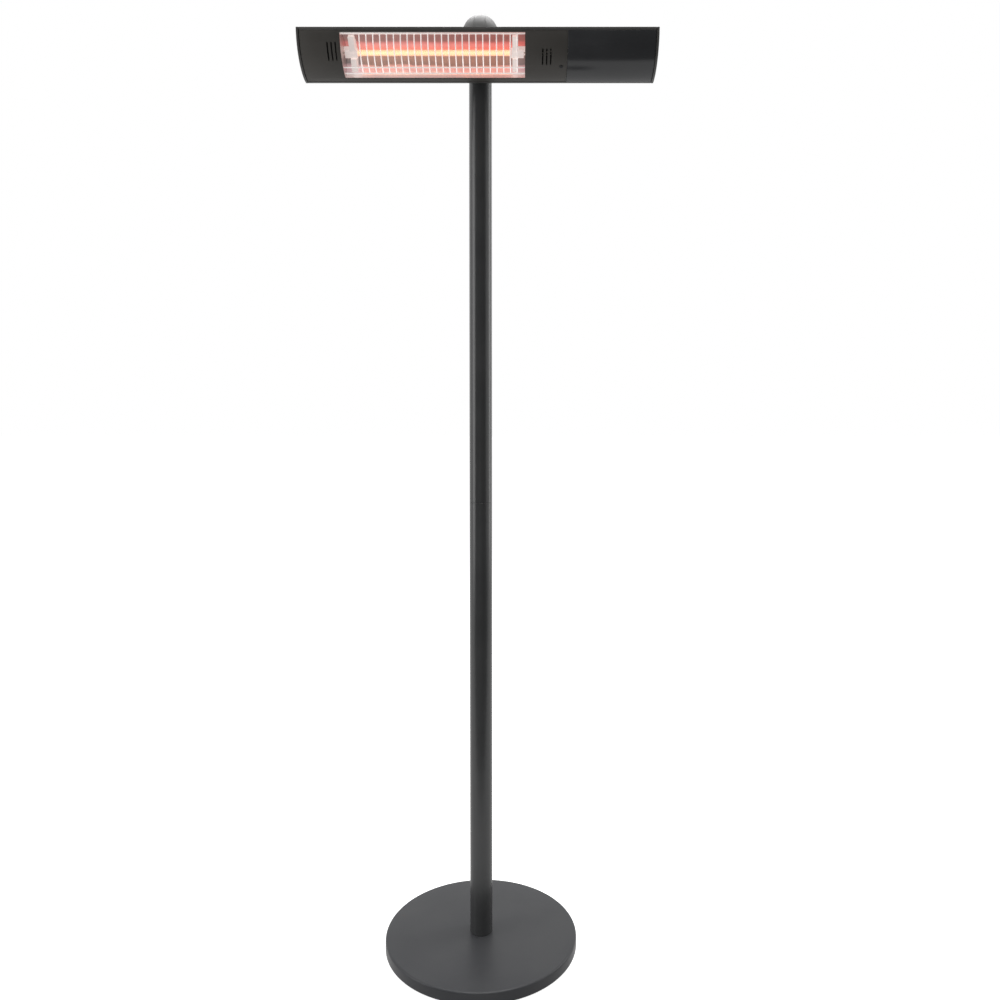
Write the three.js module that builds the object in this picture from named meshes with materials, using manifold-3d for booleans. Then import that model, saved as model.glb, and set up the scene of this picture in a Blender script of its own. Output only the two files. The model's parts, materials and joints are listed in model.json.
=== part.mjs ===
// Free-standing infrared patio heater: a weighted round base, a tubular pole, a ball-shaped
// tilt joint and a long heater head with one lamp behind a wire guard.
// Millimetres, +Z up. The origin is on the floor, on the pole's axis; the lamp faces -Y.
import * as THREE from "three";
import { mergeVertices } from "three/addons/utils/BufferGeometryUtils.js";
import Module from "manifold-3d";

const wasm = await Module();
wasm.setup();

// ---------------------------------------------------------------- driving sizes
const fit = 0.3; // clearance round a piece inside another
const seat = 0.2; // clearance under a piece that rests on a face of the head

// base
const baseRadius = 217;
const baseHeight = 26; // floor to the top of the cover
const baseEdge = 5; // rounding of the cover's top edge
const coverWall = 1.5;
const coverHem = 2; // gap between the cover's rim and the floor
const weightGap = 3; // weight to cover, all round
const hollowInner = 50; // ring cast hollow under the weight
const hollowOuter = 163;
const hollowDepth = 12;
const footHeight = 3;
const footRadius = 15;
const footCircle = 180;
const footCount = 4;
const boltRadius = 6;
const boltHeadRadius = 10.4;
const boltHeadHeight = 6;
const boltWasherHeight = 2.5;
const boltWasherRadius = 14;
const plugHeight = 22;

// pole
const poleRadius = 25.4;
const poleWall = 2;
const poleSplit = 1010; // height of the seam between the two tubes
const joinerLength = 160;
const joinerWall = 2.5;
const screwRadius = 2.5;
const screwHeadRadius = 4.6;
const screwHeadHeight = 2.6;

// tilt joint
const ballHeight = 2057; // floor to the tilt axis
const ballRadius = 40;
const tiltRest = 46; // degrees that the lamp looks below the horizon
const hubHalf = 12; // half the middle slice of the ball
const frictionWasher = 1.2;
const frictionRadius = 18;
const neckDepth = 18;
const neckDrop = 56; // tilt axis down to the top of the pole
const collarHeight = 5;
const spigotLength = 45;
const tiltBoltRadius = 4;
const tiltHeadRadius = 6.5;
const tiltHeadHeight = 8;
const tiltNutRadius = 7.4;
const tiltNutHeight = 6.5;
const armHalf = 27; // half the width over the two arms of the fork
const armDrop = 10;
const armRise = 16;
const footPlateHalfWidth = 46;
const footPlateHalfHeight = 17;
const footPlateWall = 5;
const bracketScrewSpan = 36;

// head: its section is in y (towards the back) and z, with y = 0 on the plane of its lips
const headHalf = 379.5; // half the length over the end caps
const headStand = 121; // tilt axis to the plane of the lips
const headLift = 6; // tilt axis to the middle of the head
const lipHalf = 60.5; // half the height over the lips
const crown = 23.3; // how far the face bulges in front of the lips
const bodyDepth = 50; // lips to the flat back
const backHalf = 20; // half the height of the flat back
const bodySlope = 27; // degrees by which the walls close in behind the lips
const bodyWall = 2.2;
const lipHeight = 4.6;
const fasciaWall = 1.5;
const fasciaSink = 0.6; // fascia behind the line of the end caps
const capWall = 5;
const gasketGap = 1.4; // room between the housing and an end cap
const gasketWidth = 2.6;
const channelRadius = 4.2; // screw channels along the housing
const channelBore = 1.9;
const capScrewRadius = 1.6;
const capScrewLength = 14;
const capScrewHead = 3.8;
const capScrewHeadHeight = 2.4;

// window and guard, along the head and up its face
const coverWidth = 190.8; // control cover, up to the outer face of the end cap
const coverLeft = headHalf - coverWidth; // seam between the fascia and the control cover
const windowInset = 90.7; // left end of the head to the window
const windowToCover = 89.5;
const ventToWindow = 18.6;
const ventToCover = 44;
const wireInsetLeft = 40; // first and last wire inside the window
const wireInsetRight = 17;
const windowLeft = windowInset - headHalf;
const windowRight = coverLeft - windowToCover;
const windowTop = 52.4;
const windowBottom = -44;
const ventWidth = 3;
const ventPitch = 8.5;
const ventCount = 3;
const leftVent = { x: windowLeft - ventToWindow, z: 17.5, height: 36.5 };
const rightVent = { x: coverLeft - ventToCover, z: 7, height: 33.5 };
const guardSink = 5; // guard behind the face
const wireRadius = 1.2;
const wireCount = 24;
const wireLeft = windowLeft + wireInsetLeft;
const wireRight = windowRight - wireInsetRight;
const railHeights = [47.8, -18, -33];
const wirePast = 1.3; // wires past the outer rails

// reflector and lamp
const troughHalf = 47; // half the mouth of the reflector
const troughMiddle = 3;
const troughMouth = 2; // mouth behind the plane of the lips
const troughBack = 40;
const troughWall = 1;
const troughEndWall = 1.2;
const lampY = 11;
const lampZ = 1;
const lampRadius = 6;
const lampWall = 1;
const filamentRadius = 1.5;
const socketWidth = 27;
const socketHalfHeight = 8.5;
const socketHalfDepth = 7;
const holderWidth = 12;
const holderInset = 15; // holder to the end of the reflector
const holderFront = -2.5;
const holderTop = 40;
const holderBottom = -34;
const leadRadius = 1.5;
const leadRow = { y: 43, z: -18 }; // where the long lead runs behind the reflector

// control section
const bulkheadToCover = 70.7;
const bulkheadX = coverLeft - bulkheadToCover;
const bulkheadWall = 2;
const lensToCover = 12.8;
const lensX = coverLeft - lensToCover;
const lensZ = -14;
const lensRadius = 4;
const lensLength = 22;
const trayInset = 7.8; // left end of the tray behind the cover's seam
const trayLength = 142;
const trayLeft = coverLeft + trayInset;
const trayRight = trayLeft + trayLength;
const trayHalf = 19;
const trayWall = 2.5;
const railWall = 2;
const boardY = 31;
const boardWall = 1.6;
const boardMargin = 3;
const relayPlace = 90; // from the left end of the tray
const terminalPlace = 20;
const relay = { x: trayLeft + relayPlace, length: 40, height: 26, depth: 18 };
const terminal = { x: trayLeft + terminalPlace, length: 24, height: 20, depth: 14 };
const tipSwitchToCover = 30.7;
const tipSwitch = { x: coverLeft - tipSwitchToCover, length: 24, height: 16, depth: 14 };
const glandInset = 24;
const glandX = headHalf - glandInset;
const glandRadius = 9.5;
const glandFlange = 5;
const glandDome = 13;
const glandThread = 6.5;
const glandNutHeight = 4.5;

// power switch in the right end cap
const switchY = 14;
const bezelHalf = 14;
const bezelHalfDepth = 9;
const bezelWall = 1.6;
const switchBodyHalf = 12.5;
const switchBodyHalfDepth = 7.5;
const switchBodyLength = 18;
const wellHalf = 10.8;
const wellHalfDepth = 5.6;
const wellDepth = 7;
const rockerAngle = 7; // lean of each face of the paddle, and its turn from the middle
const rockerPivotDepth = 4; // pivot behind the bezel's face

// ---------------------------------------------------------------- worked-out sizes
const rad = THREE.MathUtils.degToRad;
const poleBore = poleRadius - poleWall;
const weightRadius = baseRadius - coverWall - weightGap;
const weightTop = baseHeight - coverWall;
const recessTop = footHeight + fit + boltHeadHeight + boltWasherHeight;
const plugTop = baseHeight + plugHeight;
const poleTop = ballHeight - neckDrop;
const cheekStart = hubHalf + fit;
const washerStart = hubHalf + fit / 2;
const washerEnd = washerStart + frictionWasher;
const plateFront = headStand - bodyDepth; // tilt axis to the head's flat back
const lipInner = lipHalf - lipHeight;
const faceHalf = lipInner - fit;
const faceRadius = (lipHalf ** 2 + crown ** 2) / (2 * crown);
const windowMiddle = (windowLeft + windowRight) / 2;
const windowHalf = (windowRight - windowLeft) / 2;
const bodyHalf = headHalf - capWall - gasketGap;
const troughReach = troughBack - troughMouth;

// ---------------------------------------------------------------- shape helpers

// Closed geometry to a solid, and back to a geometry.
function solid(geometry) {
  const bare = geometry.index ? geometry.toNonIndexed() : geometry.clone();
  for (const name of Object.keys(bare.attributes)) {
    if (name !== "position") bare.deleteAttribute(name);
  }
  const merged = mergeVertices(bare, 1e-4);
  const triVerts = new Uint32Array(merged.index.array);
  const vertProperties = new Float32Array(merged.attributes.position.array);
  if (signedVolume(vertProperties, triVerts) < 0) {
    for (let i = 0; i < triVerts.length; i += 3) {
      [triVerts[i], triVerts[i + 1]] = [triVerts[i + 1], triVerts[i]];
    }
  }
  return new wasm.Manifold(new wasm.Mesh({ numProp: 3, vertProperties, triVerts }));
}

function signedVolume(points, triangles) {
  const a = new THREE.Vector3();
  const b = new THREE.Vector3();
  const c = new THREE.Vector3();
  let total = 0;
  for (let i = 0; i < triangles.length; i += 3) {
    a.fromArray(points, 3 * triangles[i]);
    b.fromArray(points, 3 * triangles[i + 1]);
    c.fromArray(points, 3 * triangles[i + 2]);
    total += a.dot(b.cross(c)) / 6;
  }
  return total;
}

function geometryOf(piece) {
  const mesh = piece.getMesh();
  const geometry = new THREE.BufferGeometry();
  geometry.setAttribute("position", new THREE.BufferAttribute(mesh.vertProperties, 3));
  geometry.setIndex(new THREE.BufferAttribute(mesh.triVerts, 1));
  geometry.computeVertexNormals();
  return geometry;
}

const join = (first, ...rest) => rest.reduce((sum, piece) => sum.add(piece), first);
const cut = (first, ...rest) => rest.reduce((left, piece) => left.subtract(piece), first);

// Box from its low and high corners.
function block(low, high) {
  const size = high.map((value, i) => value - low[i]);
  const middle = high.map((value, i) => (value + low[i]) / 2);
  return solid(new THREE.BoxGeometry(...size).translate(...middle));
}

// Cylinder between two points, or a prism when it has few sides.
function rod(radius, from, to, sides = 24) {
  const start = new THREE.Vector3(...from);
  const along = new THREE.Vector3(...to).sub(start);
  const geometry = new THREE.CylinderGeometry(radius, radius, along.length(), sides);
  geometry.rotateX(Math.PI / 2).translate(0, 0, along.length() / 2);
  const turn = new THREE.Quaternion();
  turn.setFromUnitVectors(new THREE.Vector3(0, 0, 1), along.clone().normalize());
  geometry.applyQuaternion(turn).translate(...from);
  return solid(geometry);
}

// Solid of revolution about the Z axis from [radius, height] points.
function turned(profile, sides = 48) {
  const points = profile.map(([radius, height]) => new THREE.Vector2(radius, height));
  if (profile[0][0] > 0) points.push(points[0].clone());
  return solid(new THREE.LatheGeometry(points, sides).rotateX(Math.PI / 2));
}

// The same about the X or Y axis, through a given point, its profile running towards +X or +Y.
function turnedAlong(axis, origin, profile, sides = 32) {
  const piece = turned(profile, sides);
  const turn = axis === "x" ? [0, 90, 0] : [-90, 0, 0];
  return piece.rotate(turn).translate(origin);
}

// Outline in (y, z), extruded along X.
function prism(outline, from, to) {
  const shape = new THREE.Shape(outline.map(([y, z]) => new THREE.Vector2(y, z)));
  const geometry = new THREE.ExtrudeGeometry(shape, { depth: to - from, bevelEnabled: false });
  const axes = new THREE.Matrix4().makeBasis(
    new THREE.Vector3(0, 1, 0),
    new THREE.Vector3(0, 0, 1),
    new THREE.Vector3(1, 0, 0)
  );
  return solid(geometry.applyMatrix4(axes).translate(from, 0, 0));
}

// Round bar along a smooth path.
function barAlong(points, radius, sides, steps) {
  const path = new THREE.CatmullRomCurve3(points.map((p) => new THREE.Vector3(...p)));
  const section = new THREE.Shape();
  section.absarc(0, 0, radius, 0, 2 * Math.PI);
  const options = { steps, bevelEnabled: false, extrudePath: path, curveSegments: sides / 2 };
  return solid(new THREE.ExtrudeGeometry(section, options));
}

const range = (count) => Array.from({ length: count }, (_, i) => i);
const spread = (low, high, count) => range(count).map((i) => low + ((high - low) * i) / (count - 1));
const mirrored = (points) => points.map(([y, z]) => [y, -z]).reverse();

// ---------------------------------------------------------------- sections of the head

// y of the bulging face at height z, moved back by sink.
function faceY(z, sink = 0) {
  return faceRadius - crown - Math.sqrt((faceRadius - sink) ** 2 - z ** 2);
}

// Upper half of the housing's outside, moved in by inset, from the lip to the flat back.
function bodyHalfOutline(inset, steps = 6) {
  const slope = rad(bodySlope);
  const fall = lipHalf - backHalf;
  const radius = (fall / Math.tan(slope) - bodyDepth) / (1 / Math.sin(slope) - 1);
  const lipZ = lipHalf - inset / Math.cos(slope);
  const arc = spread(slope, Math.PI / 2, steps).map((angle) => [
    bodyDepth - radius + (radius - inset) * Math.sin(angle),
    backHalf + (radius - inset) * Math.cos(angle),
  ]);
  return [[0, lipZ], ...arc];
}

// Points along the face from +half to -half.
function faceLine(half, sink, steps = 14) {
  return spread(half, -half, steps).map((z) => [faceY(z, sink), z]);
}

// Closed section: the housing's outside, or inset from it, with the bulging face in front.
function wholeSection(inset, sink) {
  const upper = bodyHalfOutline(inset);
  const half = upper[0][1];
  return [...upper, ...mirrored(upper), ...faceLine(half, sink).reverse().slice(1, -1)];
}

// Middle of the screw channel in the upper back corner.
function channelCentre() {
  const slope = rad(bodySlope);
  const fall = lipHalf - backHalf;
  const radius = (fall / Math.tan(slope) - bodyDepth) / (1 / Math.sin(slope) - 1);
  const reach = (radius - bodyWall - channelRadius + 1.2) * Math.SQRT1_2;
  return { y: bodyDepth - radius + reach, z: backHalf + reach };
}
const channel = channelCentre();

// The reflector's parabola between its two flanges, which end behind the fascia, moved out by grow.
function troughLine(grow, steps = 15) {
  const half = troughHalf + grow;
  const flange = (z) => [faceY(troughMiddle + z, fasciaSink + fasciaWall + fit), troughMiddle + z];
  const curve = spread(half, -half, steps).map((z) => [
    troughMouth + (troughReach + grow) * (1 - (z / half) ** 2),
    troughMiddle + z,
  ]);
  return [flange(half), ...curve, flange(-half)];
}

// ---------------------------------------------------------------- pieces of the stand

function baseCover() {
  const inner = baseRadius - coverWall;
  const top = baseHeight - coverWall;
  const hole = boltRadius + 1;
  const corner = (radius, height) =>
    range(4).map((i) => {
      const angle = (i / 3) * (Math.PI / 2);
      return [
        baseRadius - baseEdge + radius * Math.sin(angle),
        baseHeight - baseEdge + height * Math.cos(angle),
      ];
    });
  const outside = corner(baseEdge, baseEdge);
  const inside = corner(baseEdge - coverWall, baseEdge - coverWall).reverse();
  return turned(
    [[hole, baseHeight], ...outside, [baseRadius, coverHem], [inner, coverHem], ...inside, [hole, top]],
    60
  );
}

function baseWeight() {
  const edge = baseEdge;
  const profile = [
    [boltRadius + 1, recessTop],
    [boltWasherRadius + 2, recessTop],
    [boltWasherRadius + 2, footHeight],
    [hollowInner, footHeight],
    [hollowInner, footHeight + hollowDepth],
    [hollowOuter, footHeight + hollowDepth],
    [hollowOuter, footHeight],
    [weightRadius, footHeight],
    [weightRadius, weightTop - edge],
    [weightRadius - edge, weightTop],
    [boltRadius + 1, weightTop],
  ];
  return turned(profile, 48);
}

function baseFoot(index) {
  const angle = ((index + 0.5) / footCount) * 2 * Math.PI;
  const profile = [
    [0, 0],
    [footRadius - 1, 0],
    [footRadius, 1],
    [footRadius, footHeight],
    [0, footHeight],
  ];
  return turned(profile, 20).translate([
    footCircle * Math.cos(angle),
    footCircle * Math.sin(angle),
    0,
  ]);
}

function poleBolt() {
  const bottom = footHeight + fit;
  const top = bottom + boltHeadHeight - fit;
  return join(
    rod(boltHeadRadius, [0, 0, bottom], [0, 0, top], 6),
    rod(boltRadius, [0, 0, top - 1], [0, 0, plugTop - 4], 16)
  );
}

function poleBoltWasher() {
  const bottom = recessTop - boltWasherHeight;
  return cut(
    rod(boltWasherRadius, [0, 0, bottom], [0, 0, recessTop], 24),
    rod(boltRadius + fit, [0, 0, bottom - 1], [0, 0, recessTop + 1], 16)
  );
}

function poleEndPlug() {
  const plug = turned(
    [
      [0, baseHeight],
      [poleBore - fit, baseHeight],
      [poleBore - fit, plugTop - 2],
      [poleBore - fit - 2, plugTop],
      [0, plugTop],
    ],
    32
  );
  return cut(plug, rod(boltRadius + fit, [0, 0, baseHeight - 1], [0, 0, plugTop + 1], 16));
}

// Screw in the back of the pole: its head outside, its end inside the piece it holds.
function poleScrewHole(height) {
  return rod(screwRadius + fit, [0, 0, height], [0, poleRadius + 5, height], 16);
}

function poleScrew(height, depth) {
  const under = poleRadius + 0.05;
  return turnedAlong(
    "y",
    [0, under - depth, height],
    [
      [0, 0],
      [screwRadius, 0],
      [screwRadius, depth],
      [screwHeadRadius, depth],
      [screwHeadRadius, depth + screwHeadHeight * 0.5],
      [screwHeadRadius * 0.6, depth + screwHeadHeight],
      [0, depth + screwHeadHeight],
    ],
    16
  );
}

function poleTube(bottom, top, holes) {
  const tube = turned(
    [
      [poleBore, bottom],
      [poleRadius, bottom],
      [poleRadius, top],
      [poleBore, top],
    ],
    36
  );
  return cut(tube, ...holes.map(poleScrewHole));
}

const joinerScrews = [poleSplit - joinerLength / 4, poleSplit + joinerLength / 4];
const hubScrewHeight = poleTop - spigotLength / 2;

function poleJoiner() {
  const outer = poleBore - fit;
  const sleeve = turned(
    [
      [outer - joinerWall, poleSplit - joinerLength / 2],
      [outer, poleSplit - joinerLength / 2],
      [outer, poleSplit + joinerLength / 2],
      [outer - joinerWall, poleSplit + joinerLength / 2],
    ],
    32
  );
  return cut(sleeve, ...joinerScrews.map(poleScrewHole));
}

// Middle slice of the ball with its neck, collar and the spigot inside the pole.
function tiltHub() {
  const ball = solid(new THREE.SphereGeometry(ballRadius, 32, 18).translate(0, 0, ballHeight));
  const reach = ballRadius + 5;
  const slice = ball.intersect(
    block([-hubHalf, -reach, ballHeight - reach], [hubHalf, reach, ballHeight + reach])
  );
  const collarTop = poleTop + collarHeight;
  const neck = block([-hubHalf, -neckDepth, collarTop - 1], [hubHalf, neckDepth, ballHeight - 20]);
  const collar = turned(
    [
      [0, poleTop - spigotLength],
      [poleBore - fit, poleTop - spigotLength],
      [poleBore - fit, poleTop],
      [poleRadius, poleTop],
      [poleRadius, collarTop - 1.5],
      [poleRadius - 1.5, collarTop],
      [0, collarTop],
    ],
    36
  );
  const bore = rod(tiltBoltRadius + fit, [-reach, 0, ballHeight], [reach, 0, ballHeight], 20);
  return cut(join(slice, neck, collar), bore, poleScrewHole(hubScrewHeight));
}

// ---------------------------------------------------------------- pieces of the tilting bracket
// Their frame has its origin on the tilt axis, y towards the back of the head's own frame.

function tiltFork() {
  const ball = solid(new THREE.SphereGeometry(ballRadius, 32, 18));
  const reach = ballRadius + 5;
  const cheek = (side) => {
    const [low, high] = side < 0 ? [-reach, -cheekStart] : [cheekStart, reach];
    return ball.intersect(block([low, -reach, -reach], [high, reach, reach]));
  };
  const arm = (side) => {
    const [low, high] = side < 0 ? [-armHalf, -cheekStart] : [cheekStart, armHalf];
    return block([low, -plateFront + 1, -armDrop], [high, -ballRadius / 2, armRise]);
  };
  const plate = block(
    [-footPlateHalfWidth, -plateFront + seat, headLift - footPlateHalfHeight],
    [footPlateHalfWidth, -plateFront + footPlateWall, headLift + footPlateHalfHeight]
  );
  const bore = rod(tiltBoltRadius + fit, [-reach, 0, 0], [reach, 0, 0], 20);
  const headRecess = rod(tiltHeadRadius + 0.7, [-reach, 0, 0], [-ballRadius + tiltHeadHeight + 3, 0, 0]);
  const nutRecess = rod(tiltNutRadius + 1, [ballRadius - tiltNutHeight - 3, 0, 0], [reach, 0, 0]);
  const screwHoles = [-1, 1].map((side) =>
    rod(
      screwRadius + fit,
      [side * bracketScrewSpan, -plateFront - 1, headLift],
      [side * bracketScrewSpan, -plateFront + footPlateWall + 1, headLift],
      16
    )
  );
  const washerRecess = rod(frictionRadius + fit, [-washerEnd - fit / 2, 0, 0], [washerEnd + fit / 2, 0, 0]);
  const shape = join(cheek(-1), cheek(1), arm(-1), arm(1), plate);
  return cut(shape, bore, headRecess, nutRecess, washerRecess, ...screwHoles);
}

function frictionRing(side) {
  const ring = cut(
    rod(frictionRadius, [washerStart, 0, 0], [washerEnd, 0, 0]),
    rod(tiltBoltRadius + 1, [washerStart - 1, 0, 0], [washerEnd + 1, 0, 0], 20)
  );
  return side < 0 ? ring.mirror([1, 0, 0]) : ring;
}

function tiltBolt() {
  const headEnd = -ballRadius + 3;
  const shankEnd = ballRadius - 3.5;
  const under = headEnd + tiltHeadHeight - fit;
  return cut(
    join(
      rod(tiltHeadRadius, [headEnd, 0, 0], [under, 0, 0]),
      rod(tiltBoltRadius, [under - 1, 0, 0], [shankEnd, 0, 0], 20)
    ),
    rod(tiltHeadRadius * 0.5, [headEnd - 1, 0, 0], [headEnd + tiltHeadHeight / 2, 0, 0], 6)
  );
}

function tiltNut() {
  const start = ballRadius - tiltNutHeight - 3 + fit;
  return cut(
    rod(tiltNutRadius, [start, 0, 0], [start + tiltNutHeight - fit, 0, 0], 6),
    rod(tiltBoltRadius + fit, [start - 1, 0, 0], [ballRadius, 0, 0], 20)
  );
}

// ---------------------------------------------------------------- pieces of the head
// Their frame has its origin in the middle of the plane of the lips.

const backPlateScrews = [-bracketScrewSpan, bracketScrewSpan];

function headHousing() {
  const outside = bodyHalfOutline(0);
  const inside = bodyHalfOutline(bodyWall);
  const innerWall = inside.slice(1);
  const wallDrop = Math.tan(rad(bodySlope));
  const lipDepth = (inside[0][1] - lipInner) / wallDrop;
  const upper = [
    [faceY(lipInner), lipInner],
    [faceY((lipInner + lipHalf) / 2), (lipInner + lipHalf) / 2],
    ...outside,
  ];
  const upperInner = [[faceY(lipInner), lipInner], [lipDepth, lipInner], ...innerWall];
  const outline = [
    ...upper,
    ...mirrored(upper),
    ...mirrored(upperInner).reverse().slice(1),
    ...upperInner.reverse().slice(0, -1),
  ];
  const shell = prism(outline, -bodyHalf, bodyHalf);
  const channels = [1, -1].map((side) =>
    rod(channelRadius, [-bodyHalf, channel.y, side * channel.z], [bodyHalf, channel.y, side * channel.z], 14)
  );
  const bores = [1, -1].map((side) =>
    rod(
      channelBore,
      [-bodyHalf - 1, channel.y, side * channel.z],
      [bodyHalf + 1, channel.y, side * channel.z],
      10
    )
  );
  const screwHoles = backPlateScrews.map((x) =>
    rod(screwRadius + fit, [x, bodyDepth - bodyWall - 1, 0], [x, bodyDepth + 1, 0], 16)
  );
  const glandHole = rod(
    glandThread + fit,
    [glandX, bodyDepth - bodyWall - 1, 0],
    [glandX, bodyDepth + 1, 0],
    20
  );
  return cut(join(shell, ...channels), ...bores, ...screwHoles, glandHole);
}

// Curved sheet of the face between two places along the head.
function faceSheet(sink, from, to) {
  const outer = faceLine(faceHalf, sink);
  const inner = faceLine(faceHalf, sink + fasciaWall).reverse();
  return prism([...outer, ...inner], from, to);
}

function ventHoles(vent) {
  return range(ventCount).map((i) => {
    const x = vent.x + (i - (ventCount - 1) / 2) * ventPitch;
    return block(
      [x - ventWidth / 2, -crown - 2, vent.z - vent.height / 2],
      [x + ventWidth / 2, lipHalf / 2, vent.z + vent.height / 2]
    );
  });
}

function frontFascia() {
  const sheet = faceSheet(fasciaSink, -bodyHalf + fit, coverLeft - fit);
  const opening = block([windowLeft, -crown - 2, windowBottom], [windowRight, lipHalf / 2, windowTop]);
  const lensHole = rod(lensRadius + fit, [lensX, -crown - 2, lensZ], [lensX, 0, lensZ]);
  return cut(sheet, opening, ...ventHoles(leftVent), ...ventHoles(rightVent), lensHole);
}

function controlCover() {
  return faceSheet(0, coverLeft, bodyHalf - fit);
}

function endCap(side) {
  const [low, high] = [headHalf - capWall, headHalf];
  const plate = prism(wholeSection(0, 0), low, high);
  const holes = [1, -1].map((row) =>
    rod(
      capScrewRadius + fit,
      [low - 1, channel.y, row * channel.z],
      [high + 1, channel.y, row * channel.z],
      12
    )
  );
  const drilled = cut(plate, ...holes);
  if (side < 0) return drilled.mirror([1, 0, 0]);
  const switchHole = block(
    [low - 1, switchY - switchBodyHalfDepth - fit, -switchBodyHalf - fit],
    [high + 1, switchY + switchBodyHalfDepth + fit, switchBodyHalf + fit]
  );
  return cut(drilled, switchHole);
}

function endGasket(side) {
  const ring = cut(
    prism(wholeSection(0.4, 0.4), bodyHalf + seat, bodyHalf + gasketGap - seat),
    prism(wholeSection(gasketWidth, gasketWidth + 0.4), bodyHalf - 1, bodyHalf + gasketGap + 1)
  );
  return side < 0 ? ring.mirror([1, 0, 0]) : ring;
}

function capScrew(side, row) {
  const tip = headHalf - capScrewLength;
  const under = capScrewLength + seat;
  const screw = turnedAlong(
    "x",
    [tip, channel.y, row * channel.z],
    [
      [0, 0],
      [capScrewRadius, 0],
      [capScrewRadius, under],
      [capScrewHead, under],
      [capScrewHead, under + capScrewHeadHeight * 0.5],
      [capScrewHead * 0.6, under + capScrewHeadHeight],
      [0, under + capScrewHeadHeight],
    ],
    16
  );
  return side < 0 ? screw.mirror([1, 0, 0]) : screw;
}

function bracketPlate() {
  const back = bodyDepth - bodyWall;
  const span = bracketScrewSpan + 12;
  const plate = block([-span, back - 3, -13], [span, back - seat, 13]);
  const holes = backPlateScrews.map((x) => rod(screwRadius + fit, [x, back - 4, 0], [x, back + 1, 0], 16));
  return cut(plate, ...holes);
}

function bracketScrew(x) {
  const tip = bodyDepth - bodyWall - 4;
  const length = bodyDepth + footPlateWall + seat - tip;
  return turnedAlong(
    "y",
    [x, tip, 0],
    [
      [0, 0],
      [screwRadius, 0],
      [screwRadius, length],
      [screwHeadRadius, length],
      [screwHeadRadius, length + screwHeadHeight * 0.5],
      [screwHeadRadius * 0.6, length + screwHeadHeight],
      [0, length + screwHeadHeight],
    ],
    16
  );
}

function guardGrille() {
  const rails = railHeights.map((z) => {
    const y = faceY(z, guardSink);
    return rod(wireRadius, [windowLeft + fit, y, z], [windowRight - fit, y, z], 6);
  });
  const ends = [railHeights[0] + wirePast, railHeights.at(-1) - wirePast];
  const heights = spread(ends[0], ends[1], 5);
  const wires = spread(wireLeft, wireRight, wireCount).map((x) => {
    const points = heights.map((z) => [x, faceY(z, guardSink + wireRadius), z]);
    return barAlong(points, wireRadius, 6, 4);
  });
  return join(...rails, ...wires);
}

function reflector() {
  const inner = troughLine(0);
  const outer = troughLine(troughWall).reverse();
  return prism([...inner, ...outer], windowLeft, windowRight);
}

function reflectorEnd(side) {
  const back = troughLine(troughWall);
  const front = spread(back.at(-1)[1], back[0][1], 8).map((z) => [
    faceY(z, fasciaSink + fasciaWall + fit),
    z,
  ]);
  const outline = [...back, ...front.slice(1, -1)];
  const start = windowHalf + fit;
  const plate = prism(outline, start, start + troughEndWall);
  const hole = rod(leadRadius + 1, [start - 1, lampY, lampZ], [start + 3, lampY, lampZ], 12);
  const drilled = cut(plate, hole);
  const placed = side < 0 ? drilled.mirror([1, 0, 0]) : drilled;
  return placed.translate([windowMiddle, 0, 0]);
}

// Ceramic fork that carries one end of the lamp, with a foot on the reflector's end plate.
function lampHolder(side) {
  const outer = windowHalf - holderInset;
  const deep = 2 * socketHalfDepth;
  const outline = [
    [holderFront, holderTop],
    [10, holderTop],
    [lampY + deep, holderTop / 2],
    [lampY + deep, holderBottom / 2],
    [12, holderBottom],
    [holderFront, holderBottom],
  ];
  const slot = block(
    [outer - holderWidth - 1, holderFront - 1, lampZ - socketHalfHeight - fit],
    [outer + 1, lampY + socketHalfDepth + fit, lampZ + socketHalfHeight + fit]
  );
  const foot = block(
    [outer - 1, lampY + socketHalfDepth + fit, lampZ - socketHalfHeight],
    [windowHalf, lampY + deep, lampZ + socketHalfHeight]
  );
  const shape = join(cut(prism(outline, outer - holderWidth, outer), slot), foot);
  const placed = side < 0 ? shape.mirror([1, 0, 0]) : shape;
  return placed.translate([windowMiddle, 0, 0]);
}

const socketOuter = windowHalf - 3;
const socketInner = socketOuter - socketWidth;

function lampSocket(side) {
  const shape = block(
    [socketInner, lampY - socketHalfDepth, lampZ - socketHalfHeight],
    [socketOuter, lampY + socketHalfDepth, lampZ + socketHalfHeight]
  );
  const placed = side < 0 ? shape.mirror([1, 0, 0]) : shape;
  return placed.translate([windowMiddle, 0, 0]);
}

function lampTube() {
  const half = socketInner - fit;
  const low = [windowMiddle - half, lampY, lampZ];
  const high = [windowMiddle + half, lampY, lampZ];
  const past = (point, step) => [point[0] + step, point[1], point[2]];
  return cut(rod(lampRadius, low, high), rod(lampRadius - lampWall, past(low, -1), past(high, 1)));
}

function lampFilament() {
  const half = socketInner - fit;
  return rod(filamentRadius, [windowMiddle - half, lampY, lampZ], [windowMiddle + half, lampY, lampZ], 10);
}

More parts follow.
